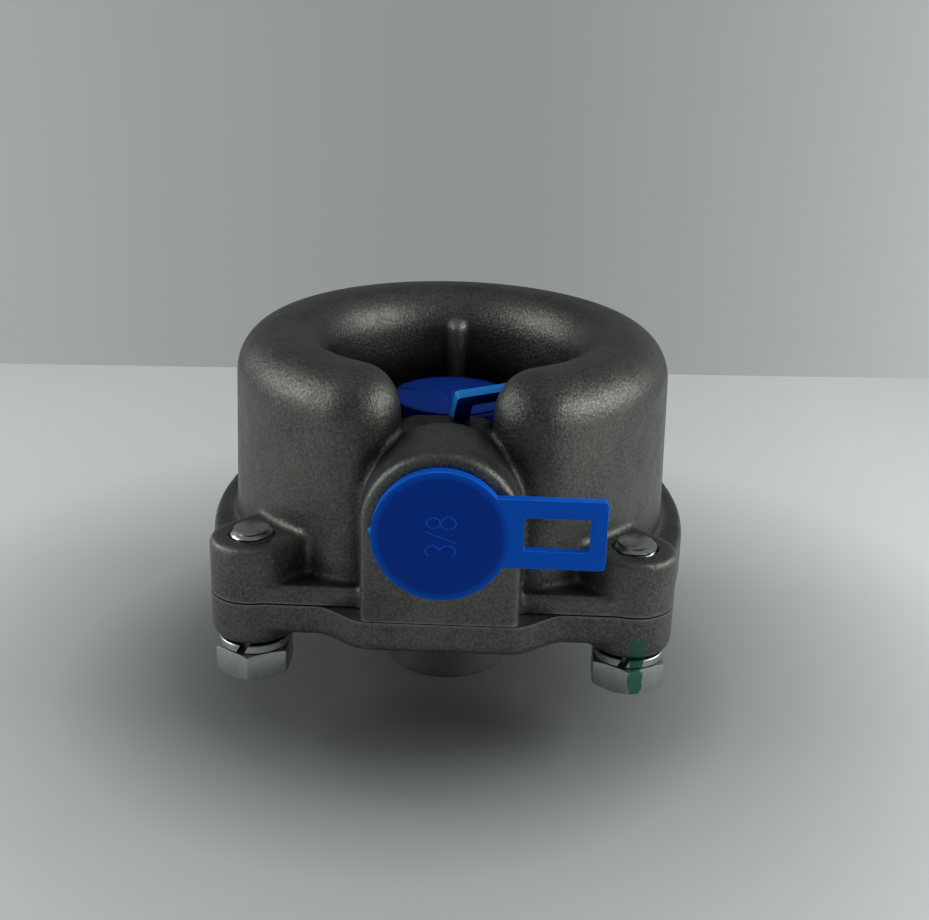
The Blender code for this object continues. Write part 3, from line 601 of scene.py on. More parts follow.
def distance_across(finish, centre, across):
    """The distance from the axis through the centre, where across has a 0 along that axis."""
    place = node(finish, "TexCoord").outputs["Object"]
    flat = node(finish, "VectorMath", operation="MULTIPLY")
    flat.inputs[1].default_value = across
    link(finish, place, flat.inputs[0])
    gap = node(finish, "VectorMath", operation="DISTANCE")
    middle = Vector((centre[0], centre[1] + AXIS_Y, centre[2])) * MM
    gap.inputs[1].default_value = [a * b for a, b in zip(middle, across)]
    link(finish, flat.outputs["Vector"], gap.inputs[0])
    return gap.outputs["Value"]


def near(finish, spot, reach):
    """1 at the spot, in millimetres about the valve's axis, falling to 0 at the reach."""
    place = node(finish, "TexCoord").outputs["Object"]
    gap = node(finish, "VectorMath", operation="DISTANCE")
    gap.inputs[1].default_value = Vector((spot[0], spot[1] + AXIS_Y, spot[2])) * MM
    link(finish, place, gap.inputs[0])
    return ranged(finish, gap.outputs["Value"], 0.0, reach * MM, 1.0, 0.0)


def within(finish, axis, low, high, edge=0.12, ragged=0.5):
    """1 where the piece's coordinate lies between low and high, with slightly ragged edges."""
    uneven = ranged(finish, noise(finish, 450, 3), 0.3, 0.7, -ragged * MM, ragged * MM)
    value = arithmetic(finish, "ADD", place_along(finish, axis), uneven)
    above = ranged(finish, value, (low - edge) * MM, (low + edge) * MM, 0, 1)
    below = ranged(finish, value, (high - edge) * MM, (high + edge) * MM, 1, 0)
    return arithmetic(finish, "MULTIPLY", above, below)


def paint(finish, shader, body, metallic):
    """A brushed green stripe down the front of the right bolt, over the finish's own colour."""
    stripe = within(finish, "X", PAINT_X - PAINT_HALF, PAINT_X + PAINT_HALF)
    front = within(finish, "Y", -BOSS_FACE, PAINT_Y + AXIS_Y)
    height = within(finish, "Z", 0, PAINT_TOP)
    share = arithmetic(finish, "MULTIPLY", arithmetic(finish, "MULTIPLY", stripe, front), height)
    link(finish, blend_colours(finish, share, body, (0.002, 0.11, 0.06)), shader.inputs["Base Color"])
    link(finish, ranged(finish, share, 0, 1, metallic, 0), shader.inputs["Metallic"])


def worn_edges_and_corner_shade(finish, body):
    """Lighter convex edges, partly worn and partly a painted highlight, and painted shade where the casting's
    own walls close in.
    """
    sharpness = node(finish, "NewGeometry").outputs["Pointiness"]
    # painted highlight: convex edges are lightened, partly as wear
    body = blend_colours(finish, ranged(finish, sharpness, 0.515, 0.57, 0, 0.7), body, (0.27, 0.27, 0.245))
    corner = node(finish, "AmbientOcclusion", samples=8, only_local=True)
    corner.inputs["Distance"].default_value = CORNER_REACH * MM
    # painted shade: the colour darkens where the casting's walls close in
    corner_shade = ranged(finish, corner.outputs["AO"], 0.75, 0.3, 0, 0.9)
    return blend_colours(finish, corner_shade, body, (0.012, 0.014, 0.014))


def shaded_recess(finish, body):
    """The walls around the hub are darkened from the floor up to their rounding: painted shade in the recess.
    """
    recess = ranged(finish, distance_across(finish, (0, 0, 0), (1, 1, 0)),
                    (RING_INNER_R + SINK) * MM, RING_MID_R * MM, 1, 0)
    deep = ranged(finish, place_along(finish, "Z"), RECESS_DARK_TOP * MM, (TOP_Z - INNER_ROUND) * MM, 0.93, 0)
    return blend_colours(finish, arithmetic(finish, "MULTIPLY", recess, deep), body, (0.01, 0.012, 0.013))


# Painted reflection: the neck's lower part is lightened to stand in for the bright floor mirrored in it.
def neck_floor_reflection(finish, body):
    share = ranged(finish, place_along(finish, "Z"), NECK_FLARE_H * MM, NECK_REFLECTION_TOP * MM, 0.9, 0)
    return blend_colours(finish, share, body, (0.3, 0.3, 0.29))


def toned_patch(finish, body, low, high, half, top, share, tone):
    """Blends a tone over the part from y low to high and x -half to half, below the height top."""
    place = within(finish, "Z", FLOOR_TOP + SINK, top, 0.4, 0)
    for axis, start, end in (("X", -half, half), ("Y", low, high)):
        place = arithmetic(finish, "MULTIPLY", place, within(finish, axis, start, end, 0.4, 0))
    return blend_colours(finish, arithmetic(finish, "MULTIPLY", place, share), body, tone)


def cast_aluminium(name, patches=(), rusty=False, painted=False):
    """Shot-blasted casting: dark warm grey with a fine sparkling grain, and lighter edges that are partly
    worn and polished and partly a painted highlight.
    """
    made, shader = start_finish(name, (0.1, 0.1, 0.095), 0.5, 0.9)
    clouds = noise(made, 70, 5, 0.6)
    grain = noise(made, 1900, 4, 0.75)
    body = blend_colours(made, ranged(made, clouds, 0.35, 0.65, 0, 1),
                         (0.06, 0.065, 0.06), (0.106, 0.108, 0.096))
    speckle = ranged(made, grain, 0.42, 0.66, 0, 0.62)
    body = blend_colours(made, speckle, body, (0.22, 0.22, 0.19))
    # painted highlight on the edges, painted shade in the corners and the recess, painted reflection on the
    # neck
    body = neck_floor_reflection(made, shaded_recess(made, worn_edges_and_corner_shade(made, body)))
    for patch in patches:
        body = toned_patch(made, body, *patch)
    if rusty:
        share = arithmetic(made, "MULTIPLY", near(made, RUST_SPOT, RUST_REACH), noise(made, 500, 3))
        body = blend_colours(made, ranged(made, share, 0.1, 0.6, 0, 0.5), body, (0.08, 0.06, 0.045))
    link(made, body, shader.inputs["Base Color"])
    if painted:
        paint(made, shader, body, shader.inputs["Metallic"].default_value)
    rough = ranged(made, noise(made, 260, 3), 0.3, 0.7, 0.35, 0.48)
    link(made, rough, shader.inputs["Roughness"])
    waves = bump(made, noise(made, 320, 2), 0.3, 0.3)
    pits = bump(made, noise(made, 1700, 4, 0.65), 0.9, 0.17, waves)
    link(made, pits, shader.inputs["Normal"])
    return made


def machined_aluminium():
    """Turned faces and bores."""
    made, shader = start_finish("machined_aluminium", (0.55, 0.55, 0.54), 0.33, 1.0)
    turning = noise(made, 2600, 2, 0.5, (1, 1, 0.05))
    link(made, bump(made, turning, 0.2, 0.03), shader.inputs["Normal"])
    return made


def threaded_aluminium(name, direction):
    """A bore's thread, as bands along the bore's axis."""
    made, shader = start_finish(name, (0.5, 0.5, 0.49), 0.36, 1.0)
    wave = node(made, "TexWave", wave_type="BANDS", bands_direction=direction, wave_profile="TRI")
    band = math.pi / 10     # a band's width at a scale of 1
    wave.inputs["Scale"].default_value = band / (PORT_THREAD_PITCH * MM)
    link(made, node(made, "TexCoord").outputs["Object"], wave.inputs["Vector"])
    link(made, bump(made, wave.outputs["Fac"], 1.0, 0.6), shader.inputs["Normal"])
    return made


def zinc_plate(name, painted=False):
    made, shader = start_finish(name, (0.34, 0.35, 0.34), 0.3, 1.0)
    tone = blend_colours(made, noise(made, 240, 4, 0.6), (0.25, 0.26, 0.255), (0.46, 0.47, 0.46))
    link(made, tone, shader.inputs["Base Color"])
    if painted:
        paint(made, shader, tone, 1.0)
    link(made, ranged(made, noise(made, 900, 3), 0.3, 0.7, 0.24, 0.42), shader.inputs["Roughness"])
    link(made, bump(made, noise(made, 1400, 3), 0.25, 0.05), shader.inputs["Normal"])
    return made


def blue_plastic(name, colour, rim=None, axis=None):
    """Moulded plastic. The disc's rim and all beyond it can have a tone of their own.

    On the front plug light comes through them. The top plug's tab lies in the shade of the slot.
    """
    made, shader = start_finish(name, colour, 0.38, 0.0)
    shader.inputs["Specular IOR Level"].default_value = 0.12
    if rim:
        beyond = ranged(made, distance_across(made, *axis), (PLUG_R - RIM_GLOW) * MM, PLUG_R * MM, 0, 1)
        link(made, blend_colours(made, beyond, colour, rim), shader.inputs["Base Color"])
    link(made, ranged(made, noise(made, 160, 3), 0.3, 0.7, 0.34, 0.46), shader.inputs["Roughness"])
    link(made, bump(made, noise(made, 700, 2), 0.12, 0.05), shader.inputs["Normal"])
    return made


def metal(name, colour, roughness):
    made, shader = start_finish(name, colour, roughness, 1.0)
    link(made, bump(made, noise(made, 1800, 2), 0.15, 0.03), shader.inputs["Normal"])
    link(made, ranged(made, noise(made, 400, 3), 0.3, 0.7, roughness - 0.06, roughness + 0.08),
         shader.inputs["Roughness"])
    return made


def rubber():
    made, shader = start_finish("seal_rubber", (0.02, 0.02, 0.02), 0.65, 0.0)
    link(made, bump(made, noise(made, 900, 3), 0.3, 0.05), shader.inputs["Normal"])
    return made


# Painted shade over the saddle between the boss and the hub
SADDLE_SHADE = (BOSS_LENGTH - BOSS_FACE + AXIS_Y, -HUB_R, SADDLE_HALF, SADDLE_TOP + 1,
               0.8, (0.02, 0.019, 0.016))
# Painted light on the rib, which stands out of the shaded recess
RIB_PAINTED_LIGHT = (RING_INNER_R - RIB_R, RING_MID_R, RIB_R, RIB_TOP, 0.85, (0.24, 0.24, 0.23))
CAST = cast_aluminium("cast_aluminium", [SADDLE_SHADE, RIB_PAINTED_LIGHT], rusty=True)
COVER_CAST = cast_aluminium("cover_aluminium", painted=True)
MACHINED = machined_aluminium()
FRONT_THREAD = threaded_aluminium("front_port_thread", "Y")
TOP_THREAD = threaded_aluminium("top_port_thread", "Z")
ZINC = zinc_plate("zinc_plate")
PAINTED_ZINC = zinc_plate("painted_zinc", painted=True)
DEEP_BLUE = (0.0005, 0.05, 0.43)
DARK_BLUE = (0.0004, 0.013, 0.2)
PALE_BLUE = (0.002, 0.13, 0.82)
# A painted glow on the plugs' thin edges, for light that they catch and let through; the gate mark takes it
# too
EDGE_GLOW_BLUE = (0.03, 0.34, 1.0)
FRONT_PORT_AXIS = ((0, 0, PORT_Z), (1, 0, 1))     # a point, and the directions across the axis
TOP_PORT_AXIS = ((0, 0, 0), (1, 1, 0))
FRONT_BLUE = blue_plastic("front_plug_blue", DEEP_BLUE, PALE_BLUE, FRONT_PORT_AXIS)
TOP_BLUE = blue_plastic("top_plug_blue", DEEP_BLUE, DARK_BLUE, TOP_PORT_AXIS)
BLUE_EDGE_GLOW = blue_plastic("blue_edge_glow", EDGE_GLOW_BLUE)
MARK_BLUE = blue_plastic("blue_mark", PALE_BLUE)
RUBBER = rubber()
BRASS = metal("brass", (0.62, 0.44, 0.2), 0.3)
STEEL = metal("spring_steel", (0.42, 0.42, 0.43), 0.32)


# Castings

def housing_skin():
    """The housing's outside, melted from its forms and cut flat at the joint."""
    low = JOINT_TOP - OVERRUN
    forms = [ring_form("housing", 0.0, TOP_Z, OUTER_ROUND, INNER_ROUND, 12)]
    forms.append(rod("floor_drum", DRUM_R, low, FLOOR_TOP, 96))
    flange = [(low, flange_outline(0))]
    flange += [(z, flange_outline(inset))
               for z, inset in edge_rounding(JOINT_TOP + FLANGE_T, FLANGE_EDGE, 3)]
    forms.append(lofted("joint_flange", flange))
    lug = [(low, lug_outline(0))]
    lug += [(z, lug_outline(inset)) for z, inset in edge_rounding(LUG_TOP, LUG_EDGE, 4)]
    forms += [lofted("bolt_lug", lug, turn) for turn in lug_turns()]
    boss = [(BOSS_FACE - BOSS_LENGTH, boss_outline(0))]
    boss += [(z, boss_outline(inset)) for z, inset in edge_rounding(BOSS_FACE, BOSS_EDGE, 4)]
    forms.append(lofted("port_boss", boss, TO_FRONT))
    pipe_r = PASSAGE_R + WALL
    start, end = BOSS_FACE - PORT_DEPTH, -CHECK_Y - pipe_r
    pipe = [(0, start), (pipe_r, start), (pipe_r, end + PIPE_EDGE), (pipe_r - PIPE_EDGE, end), (0, end)]
    forms.append(turned("inlet_pipe", pipe, 48, shift(0, 0, PORT_Z) @ TO_FRONT))
    saddle = rounded_rectangle(-SADDLE_HALF, FLOOR_TOP - SINK, SADDLE_HALF, SADDLE_TOP, SADDLE_ROUND, 8)
    forms.append(lofted("boss_saddle", [(SADDLE_END, saddle), (start, saddle)], TO_FRONT))
    hub = [(0, HUB_TOP), (HUB_R - HUB_EDGE, HUB_TOP), (HUB_R, HUB_TOP - HUB_EDGE), (HUB_R, FLOOR_TOP - SINK),
           (0, FLOOR_TOP - SINK)]
    forms.append(turned("port_hub", hub, 64))
    rib_y = RING_INNER_R + DRAFT * (RIB_TOP - JOINT_TOP)
    rib = [(0, RIB_TOP)] + [(x, RIB_TOP - RIB_R + y) for x, y in arc(0, 0, RIB_R, 75, 0, 6)]
    rib += [(RIB_R, FLOOR_TOP - SINK), (0, FLOOR_TOP - SINK)]
    forms.append(turned("recess_rib", rib, 24, shift(0, rib_y, 0)))
    housing = merge(*forms)
    soften(housing, HOUSING_SKIN, SOFTEN_PASSES)
    trim(housing, JOINT_TOP, keep_above=True)
    return housing


def housing_hollow():
    """Everything that is cut out of the housing, as one tool."""
    low = JOINT_TOP - OVERRUN
    ceiling = FLOOR_TOP - WALL
    hollow = ring_form("hollow", WALL, TOP_Z - WALL, OUTER_ROUND - WALL, INNER_ROUND - WALL,
                       4, *HOLLOW_STEPS)
    core_half = BOSS_HALF - WALL
    unite(hollow, rod("floor_space", DRUM_R, low - STAGGER, ceiling, 64),
          block("boss_core", (-core_half, -(BOSS_FACE - WALL), low - 2 * STAGGER),
                (core_half, -DRUM_R + OVERRUN * 2, PORT_Z - PORT_R - WALL)))
    cut(hollow, rod("cylinder_wall", CYLINDER_R + WALL, HUB_FOOT, ceiling + 1, 48),
        rod("check_valve_boss", CHECK_BOSS_R, CHECK_BOSS_FOOT, ceiling + 1, 32, shift(0, CHECK_Y, 0)))
    finish_with(hollow, CAST)

    port_floor = HUB_TOP - TOP_PORT_DEPTH
    past_hub = HUB_TOP + OVERRUN + 1
    top_port = turned("top_port", [(0, past_hub), (PORT_R, past_hub), (PORT_R, port_floor),
                                   (0, port_floor)], 64)
    finish_with(top_port, TOP_THREAD)
    cylinder = turned("cylinder", [(0, port_floor + 1), (CONTROL_HOLE_R, port_floor + 1),
                                   (CONTROL_HOLE_R, CYLINDER_TOP), (CYLINDER_R, CYLINDER_TOP),
                                   (CYLINDER_R, low - 3 * STAGGER), (0, low - 3 * STAGGER)], 48)
    finish_with(cylinder, MACHINED)
    port_end = BOSS_FACE - PORT_DEPTH
    to_port = shift(0, 0, PORT_Z) @ TO_FRONT
    past_boss = BOSS_FACE + OVERRUN
    front_port = turned("front_port", [(0, past_boss), (PORT_R, past_boss), (PORT_R, port_end),
                                       (0, port_end)], 64, to_port)
    finish_with(front_port, FRONT_THREAD)
    passage = rod("passage", PASSAGE_R, -CHECK_Y - PASSAGE_R, port_end + 1, 32, to_port)
    finish_with(passage, MACHINED)
    check = turned("check_bore", [(0, PORT_Z), (CHECK_HOLE_R, PORT_Z), (CHECK_HOLE_R, CHECK_SEAT_Z),
                                  (CHECK_BORE_R, CHECK_SEAT_Z), (CHECK_BORE_R, low - 4 * STAGGER),
                                  (0, low - 4 * STAGGER)],
                   32, shift(0, CHECK_Y, 0))
    finish_with(check, MACHINED)
    unite(hollow, cylinder, top_port, passage, front_port, check)
    for x, y in bolt_spots():
        hole = rod("bolt_hole", BOLT_R + SEAT, low - 5 * STAGGER, LUG_TOP + SINK, 32, shift(x, y, 0))
        finish_with(hole, MACHINED)
        unite(hollow, hole)
    return hollow


def make_housing():
    housing = housing_skin()
    finish_with(housing, CAST)
    cut(housing, housing_hollow())
    smooth_by_angle(housing, 40)
    return settle(housing, "casing", "cast_aluminium", "upper_housing")


def make_cover():
    high = JOINT_LOW + OVERRUN
    rim_low = JOINT_LOW - COVER_RIM_T

    forms = [lofted("cover", rounded_below(flange_outline, rim_low, COVER_EDGE, high))]
    pad = rounded_below(pad_outline, JOINT_LOW - COVER_LUG_T, COVER_LUG_EDGE, high)
    forms += [lofted("cover_lug", pad, turn) for turn in lug_turns()]
    forms.append(lofted("cover_front", rounded_below(front_outline, rim_low, COVER_EDGE, high)))
    neck_top_r = NECK_R + NECK_DRAFT * (rim_low - NECK_FLARE_H)
    angles = [math.pi / 2 * i / 10 for i in range(1, 11)]
    neck = [(0, high), (NECK_FLARE_R, high), (NECK_FLARE_R, rim_low)]
    neck += [(NECK_FLARE_R - (NECK_FLARE_R - neck_top_r) * math.sin(a),
              rim_low - NECK_FLARE_H * (1 - math.cos(a))) for a in angles]
    neck += [(NECK_R, -OVERRUN), (0, -OVERRUN)]
    forms.append(turned("drain_neck", neck, 96))
    cover = merge(*forms)
    soften(cover, COVER_SKIN, SOFTEN_PASSES)
    trim(cover, JOINT_LOW, keep_above=False)
    trim(cover, 0, keep_above=True)
    finish_with(cover, COVER_CAST)

    floor = JOINT_LOW - COVER_FLOOR_T
    hollow = turned("hollow", [(0, high), (DISH_R, high), (DISH_R, floor), (CHAMBER_R, floor),
                               (CHAMBER_R, LAND_TOP), (DRAIN_SEAT_R, LAND_TOP),
                               (DRAIN_SEAT_R, OUTLET_DEPTH - 1), (0, OUTLET_DEPTH - 1)], 64)
    finish_with(hollow, MACHINED)
    mouth_r = PORT_R + OUTLET_CHAMFER
    outlet = turned("outlet", [(0, OUTLET_DEPTH), (PORT_R, OUTLET_DEPTH), (PORT_R, OUTLET_CHAMFER - 0.5),
                               (mouth_r, -0.5), (mouth_r, -OVERRUN), (0, -OVERRUN)], 64)
    finish_with(outlet, TOP_THREAD)
    unite(hollow, outlet)
    for x, y in bolt_spots():
        hole = rod("bolt_hole", COVER_HOLE_R, OUTLET_DEPTH, high + 1, 32, shift(x, y, 0))
        finish_with(hole, MACHINED)
        unite(hollow, hole)
    groove_low = JOINT_LOW - GROOVE_DEPTH
    groove = turned("groove", [(SEAL_R + GROOVE_HALF, high - 1), (SEAL_R + GROOVE_HALF, groove_low),
                               (SEAL_R - GROOVE_HALF, groove_low), (SEAL_R - GROOVE_HALF, high - 1)], 96)
    finish_with(groove, MACHINED)
    unite(hollow, groove)
    cut(cover, hollow)
    smooth_by_angle(cover, 40)
    return settle(cover, "casing", "cast_aluminium", "lower_cover")


# Bolts and washers

def cut_thread(piece, low, high):
    """Draws a thread into the shank by moving its points towards the bolt's axis."""
    for vertex in piece.data.vertices:
        side = Vector((vertex.co.x, vertex.co.y)) / MM
        z = vertex.co.z / MM
        if side.length < BOLT_R - POINT_CHAMFER + POINT_EDGE / 2 or not low < z < high:
            continue
        turn = math.atan2(side.y, side.x) / (2 * math.pi)
        phase = (z / THREAD_PITCH - turn) % 1.0
        fade = min(1.0, (z - low) / THREAD_PITCH)
        side = side.normalized() * (side.length - THREAD_DEPTH * abs(2 * phase - 1) * fade)
        vertex.co.x = side.x * MM
        vertex.co.y = side.y * MM


def hexagon_head():
    """A hexagon whose corners are turned off by a cone at each end."""
    flat_r = HEAD_FLATS / 2
    corner_r = flat_r / math.cos(math.pi / 6)
    corners = arc(0, 0, corner_r, HEAD_TURN, HEAD_TURN + 360, 6)[:-1]
    head = lofted("hex_bolt", [(HEAD_LOW, corners), (HEAD_TOP, corners)])
    wide = corner_r + 1
    low_r = flat_r - CHAMFER_IN - 1 / CHAMFER_SLOPE
    wide_r = wide - CHAMFER_IN
    narrow_r = flat_r + CHAMFER_IN - 2
    past = HEAD_TOP + 2 * BEARING_SLOPE
    cone = turned("cone", [(0, HEAD_LOW - 1), (low_r, HEAD_LOW - 1),
                           (wide_r, HEAD_LOW + (wide - flat_r) * CHAMFER_SLOPE),
                           (wide, HEAD_TOP - (wide - flat_r) * BEARING_SLOPE),
                           (narrow_r, past), (0, past)], 72)
    combine(head, "INTERSECT", cone)
    bevel(head, HEAD_EDGE, 2, 28)
    return head


def bolt_shank():
    """The shank with a fine row of points along its thread, up to the chamfered point."""
    low = LUG_TOP - THREAD_LENGTH
    rows = int((BOLT_TIP - low) / THREAD_PITCH * 8)
    start = BOLT_TIP - POINT_FLAT - 0.05
    tip_r = BOLT_R - POINT_CHAMFER
    section = [(0, BOLT_TIP), (tip_r - POINT_FLAT, BOLT_TIP), (tip_r, BOLT_TIP - POINT_EDGE)]
    for i in range(rows + 1):
        z = start - (start - low) * i / rows
        section.append((min(BOLT_R, tip_r + BOLT_TIP - POINT_EDGE - z), z))
    section += [(BOLT_R, HEAD_TOP - 1), (0, HEAD_TOP - 1)]
    shank = turned("shank", section, 40)
    cut_thread(shank, low, BOLT_TIP - POINT_FLAT)
    return shank


def spring_washer():
    """A spring washer with a slanted split towards the front."""
    high = WASHER_LOW + WASHER_T
    inner = BOLT_R + SEAT
    edge = WASHER_EDGE
    washer = turned("spring_washer",
                    [(inner + edge, high), (WASHER_R - edge, high), (WASHER_R, high - edge),
                     (WASHER_R, WASHER_LOW + edge), (WASHER_R - edge, WASHER_LOW), (inner + edge, WASHER_LOW),
                     (inner, WASHER_LOW + edge), (inner, high - edge)], 72)
    half = WASHER_SPLIT / 2
    near_side, far_side = -WASHER_R - 1, -BOLT_R + 1
    loops = []
    for z, lean in ((WASHER_LOW - 1, -WASHER_LEAN), (high + 1, WASHER_LEAN)):
        loops.append((z, [(lean - half, near_side), (lean + half, near_side),
                          (lean + half, far_side), (lean - half, far_side)]))
    cut(washer, lofted("split", loops, Matrix.Rotation(WASHER_TURN, 4, "Z")))
    return washer


def copied(piece, name):
    """A copy with its own mesh."""
    pick(piece)
    bpy.ops.object.duplicate()
    bpy.context.object.name = name
    return bpy.context.object


def make_fasteners():
    """One bolt and one washer are modelled on the valve's axis and copied to the four lugs."""
    bolt = merge(hexagon_head(), bolt_shank())
    smooth_by_angle(bolt, 32)
    washer = spring_washer()
    smooth_by_angle(washer, 40)
    for number, (x, y) in enumerate(bolt_spots(), 1):
        for model, replaced in ((bolt, "cover_bolt"), (washer, "lock_washer")):
            piece = copied(model, f"{model.name}_{number}")
            piece.data.transform(shift(x, y, 0))
            finish_with(piece, PAINTED_ZINC if number == PAINTED_BOLT else ZINC)
            settle(piece, "casing", "zinc_plate", f"{replaced}_{number}")
    for model in (bolt, washer):
        bpy.data.objects.remove(model, do_unlink=True)


# Plugs

def plug_disc(name, back):
    """The disc, whose back face lies at the height back, and its hollow shank."""
    front, end = back + PLUG_T, back - PLUG_SHANK
    inner = PLUG_SHANK_R - PLUG_WALL
    long, wide = SHANK_LEAD
    return turned(name, [(0, front), (PLUG_R, front), (PLUG_R, back), (PLUG_SHANK_R, back),
                         (PLUG_SHANK_R, end + long), (PLUG_SHANK_R - wide, end), (inner, end),
                         (inner, back + PLUG_WEB), (0, back + PLUG_WEB)], 96)


def rounded_rectangle(x0, y0, x1, y1, radius, steps=5):
    points = arc(x1 - radius, y0 + radius, radius, -90, 0, steps)
    points += arc(x1 - radius, y1 - radius, radius, 0, 90, steps)
    points += arc(x0 + radius, y1 - radius, radius, 90, 180, steps)
    points += arc(x0 + radius, y0 + radius, radius, 180, 270, steps)
    return points


def stroke(name, points, width):
    """A raised line along (x, y) points, as a tube half sunk in the face."""
    curve = bpy.data.curves.new(name, "CURVE")
    curve.dimensions = "3D"
    curve.bevel_depth = width / 2 * MM
    curve.bevel_resolution = 2
    curve.use_fill_caps = True
    line = curve.splines.new("POLY")
    line.points.add(len(points) - 1)
    for spot, (x, y) in zip(line.points, points):
        spot.co = (x * MM, y * MM, 0, 1)
    made = bpy.data.objects.new(name, curve)
    bpy.context.scene.collection.objects.link(made)
    pick(made)
    bpy.ops.object.convert(target="MESH")
    return bpy.context.object


def size_mark(place):
    """The plain size 3/8 in thin raised strokes, which reads along +X about the origin."""
    height, width = MARK_HEIGHT, MARK_LINE
    r = height / 4
    step = height * 0.6
    three = arc(-step, r, r * 0.95, 150, -80, 12) + arc(-step, -r, r, 80, -150, 12)
    slash = [(-0.24 * height, -0.56 * height), (0.24 * height, 0.56 * height)]
    upper = arc(step, r * 0.95, r * 0.9, -90, 270, 20)
    lower = arc(step, -r, r, 90, 450, 20)
    strokes = [stroke("size_mark", line, width) for line in (three, slash, upper, lower)]
    mark = merge(*strokes)
    mark.data.transform(place @ Matrix.Diagonal((0.84, 1, 0.6, 1)))
    finish_with(mark, MARK_BLUE)
    return mark


def make_front_plug():
    """The tab lies flat and points to +X, and the moulding's gate mark stands on the other side."""
    back = BOSS_FACE + SEAT
    front = back + PLUG_T
    to_port = shift(0, 0, PORT_Z) @ TO_FRONT
    plug = plug_disc("front_plug", back)
    half = TAB_WIDTH / 2
    tab = rounded_rectangle(PLUG_SHANK_R, TAB_RISE - half, TAB_REACH, TAB_RISE + half, TAB_CORNER)
    unite(plug, lofted("tab", [(front - TAB_T, tab), (front, tab)]))
    window = rounded_rectangle(TAB_WINDOW_START, TAB_RISE - half + TAB_BAR, TAB_REACH - TAB_END_BAR,
                               TAB_RISE + half - TAB_BAR, TAB_CORNER / 2)
    cut(plug, lofted("window", [(back - 1, window), (front + 1, window)]))
    finish_with(plug, FRONT_BLUE, BLUE_EDGE_GLOW)
    # The bevel's faces take the painted edge glow.
    bevel(plug, FRONT_PLUG_EDGE, 3, 40, 1)
    smooth_by_angle(plug, 50)
    nub = turned("gate_mark", [(0, NUB_H), (NUB_R * 0.7, NUB_H - NUB_EDGE), (NUB_R, 0), (0, 0)], 16,
                 shift(-PLUG_R - NUB_OUT, NUB_RISE, back + NUB_UP) @ Matrix.Rotation(-math.pi / 2, 4, "Y"))
    finish_with(nub, BLUE_EDGE_GLOW)
    merge(plug, nub, size_mark(shift(0, 0, front) @ Matrix.Rotation(math.pi / 2, 4, "Z")))
    plug.data.transform(to_port)
    return settle(plug, "front_plug", "blue_plastic", "front_port_plug")


def bend_up(tab, middle):
    """Bends a flat tab along +X upwards. Its middle surface is at the height middle."""
    across = Vector((math.cos(BEND_SKEW), math.sin(BEND_SKEW), 0))
    length = BEND_R * BEND_ANGLE
    edit(tab)
    for i in range(BEND_STEPS + 1):
        line = across * (BEND_START + length * i / BEND_STEPS) * MM
        bpy.ops.mesh.select_all(action="SELECT")
        bpy.ops.mesh.bisect(plane_co=line, plane_no=across)
    bpy.ops.object.mode_set(mode="OBJECT")
    for vertex in tab.data.vertices:
        reach = vertex.co.dot(across) / MM
        if reach <= BEND_START:
            continue
        angle = min(reach - BEND_START, length) / BEND_R
        straight = max(reach - BEND_START - length, 0)
        radius = BEND_R + middle - vertex.co.z / MM
        bent = BEND_START + radius * math.sin(angle) + straight * math.cos(angle)
        vertex.co += across * (bent - reach) * MM
        vertex.co.z = (middle + BEND_R - radius * math.cos(angle) + straight * math.sin(angle)) * MM


def make_top_plug():
    """The same plug in the hub's port, with its tab bent up in the slot."""
    back = HUB_TOP + SEAT
    front = back + PLUG_T
    plug = plug_disc("top_plug", back)
    middle = front - TAB_DROP - TAB_T / 2
    half = TAB_WIDTH / 2
    bar = half - TAB_BAR
    outline = rounded_rectangle(PLUG_SHANK_R, -half, TAB_REACH, half, TAB_CORNER)
    tab = lofted("tab", [(middle - TAB_T / 2, outline), (middle + TAB_T / 2, outline)])
    finish_with(tab, TOP_BLUE, BLUE_EDGE_GLOW)
    # The tab's thin side faces take the painted edge glow.
    for face in tab.data.polygons:
        face.material_index = int(abs(face.normal.z) < 0.5)
    outline = rounded_rectangle(TAB_WINDOW_START, -bar, TAB_REACH - TAB_END_BAR, bar, TAB_CORNER / 2)
    window = lofted("window", [(middle - TAB_T, outline), (middle + TAB_T, outline)])
    finish_with(window, TOP_BLUE)
    bend_up(tab, middle)
    bend_up(window, middle)
    cut(tab, window)
    to_slot = Matrix.Rotation(TOP_TAB_TURN, 4, "Z")
    tab.data.transform(to_slot)
    finish_with(plug, TOP_BLUE, BLUE_EDGE_GLOW)
    unite(plug, tab)
    # The bevel's faces take the painted edge glow.
    bevel(plug, TOP_PLUG_EDGE, 3, 40, 1)
    smooth_by_angle(plug, 50)
    merge(plug, size_mark(shift(0, 0, front) @ to_slot @ Matrix.Rotation(math.pi / 2, 4, "Z")))
    return settle(plug, "top_plug", "blue_plastic", "top_port_plug")


# Camera, floor and light

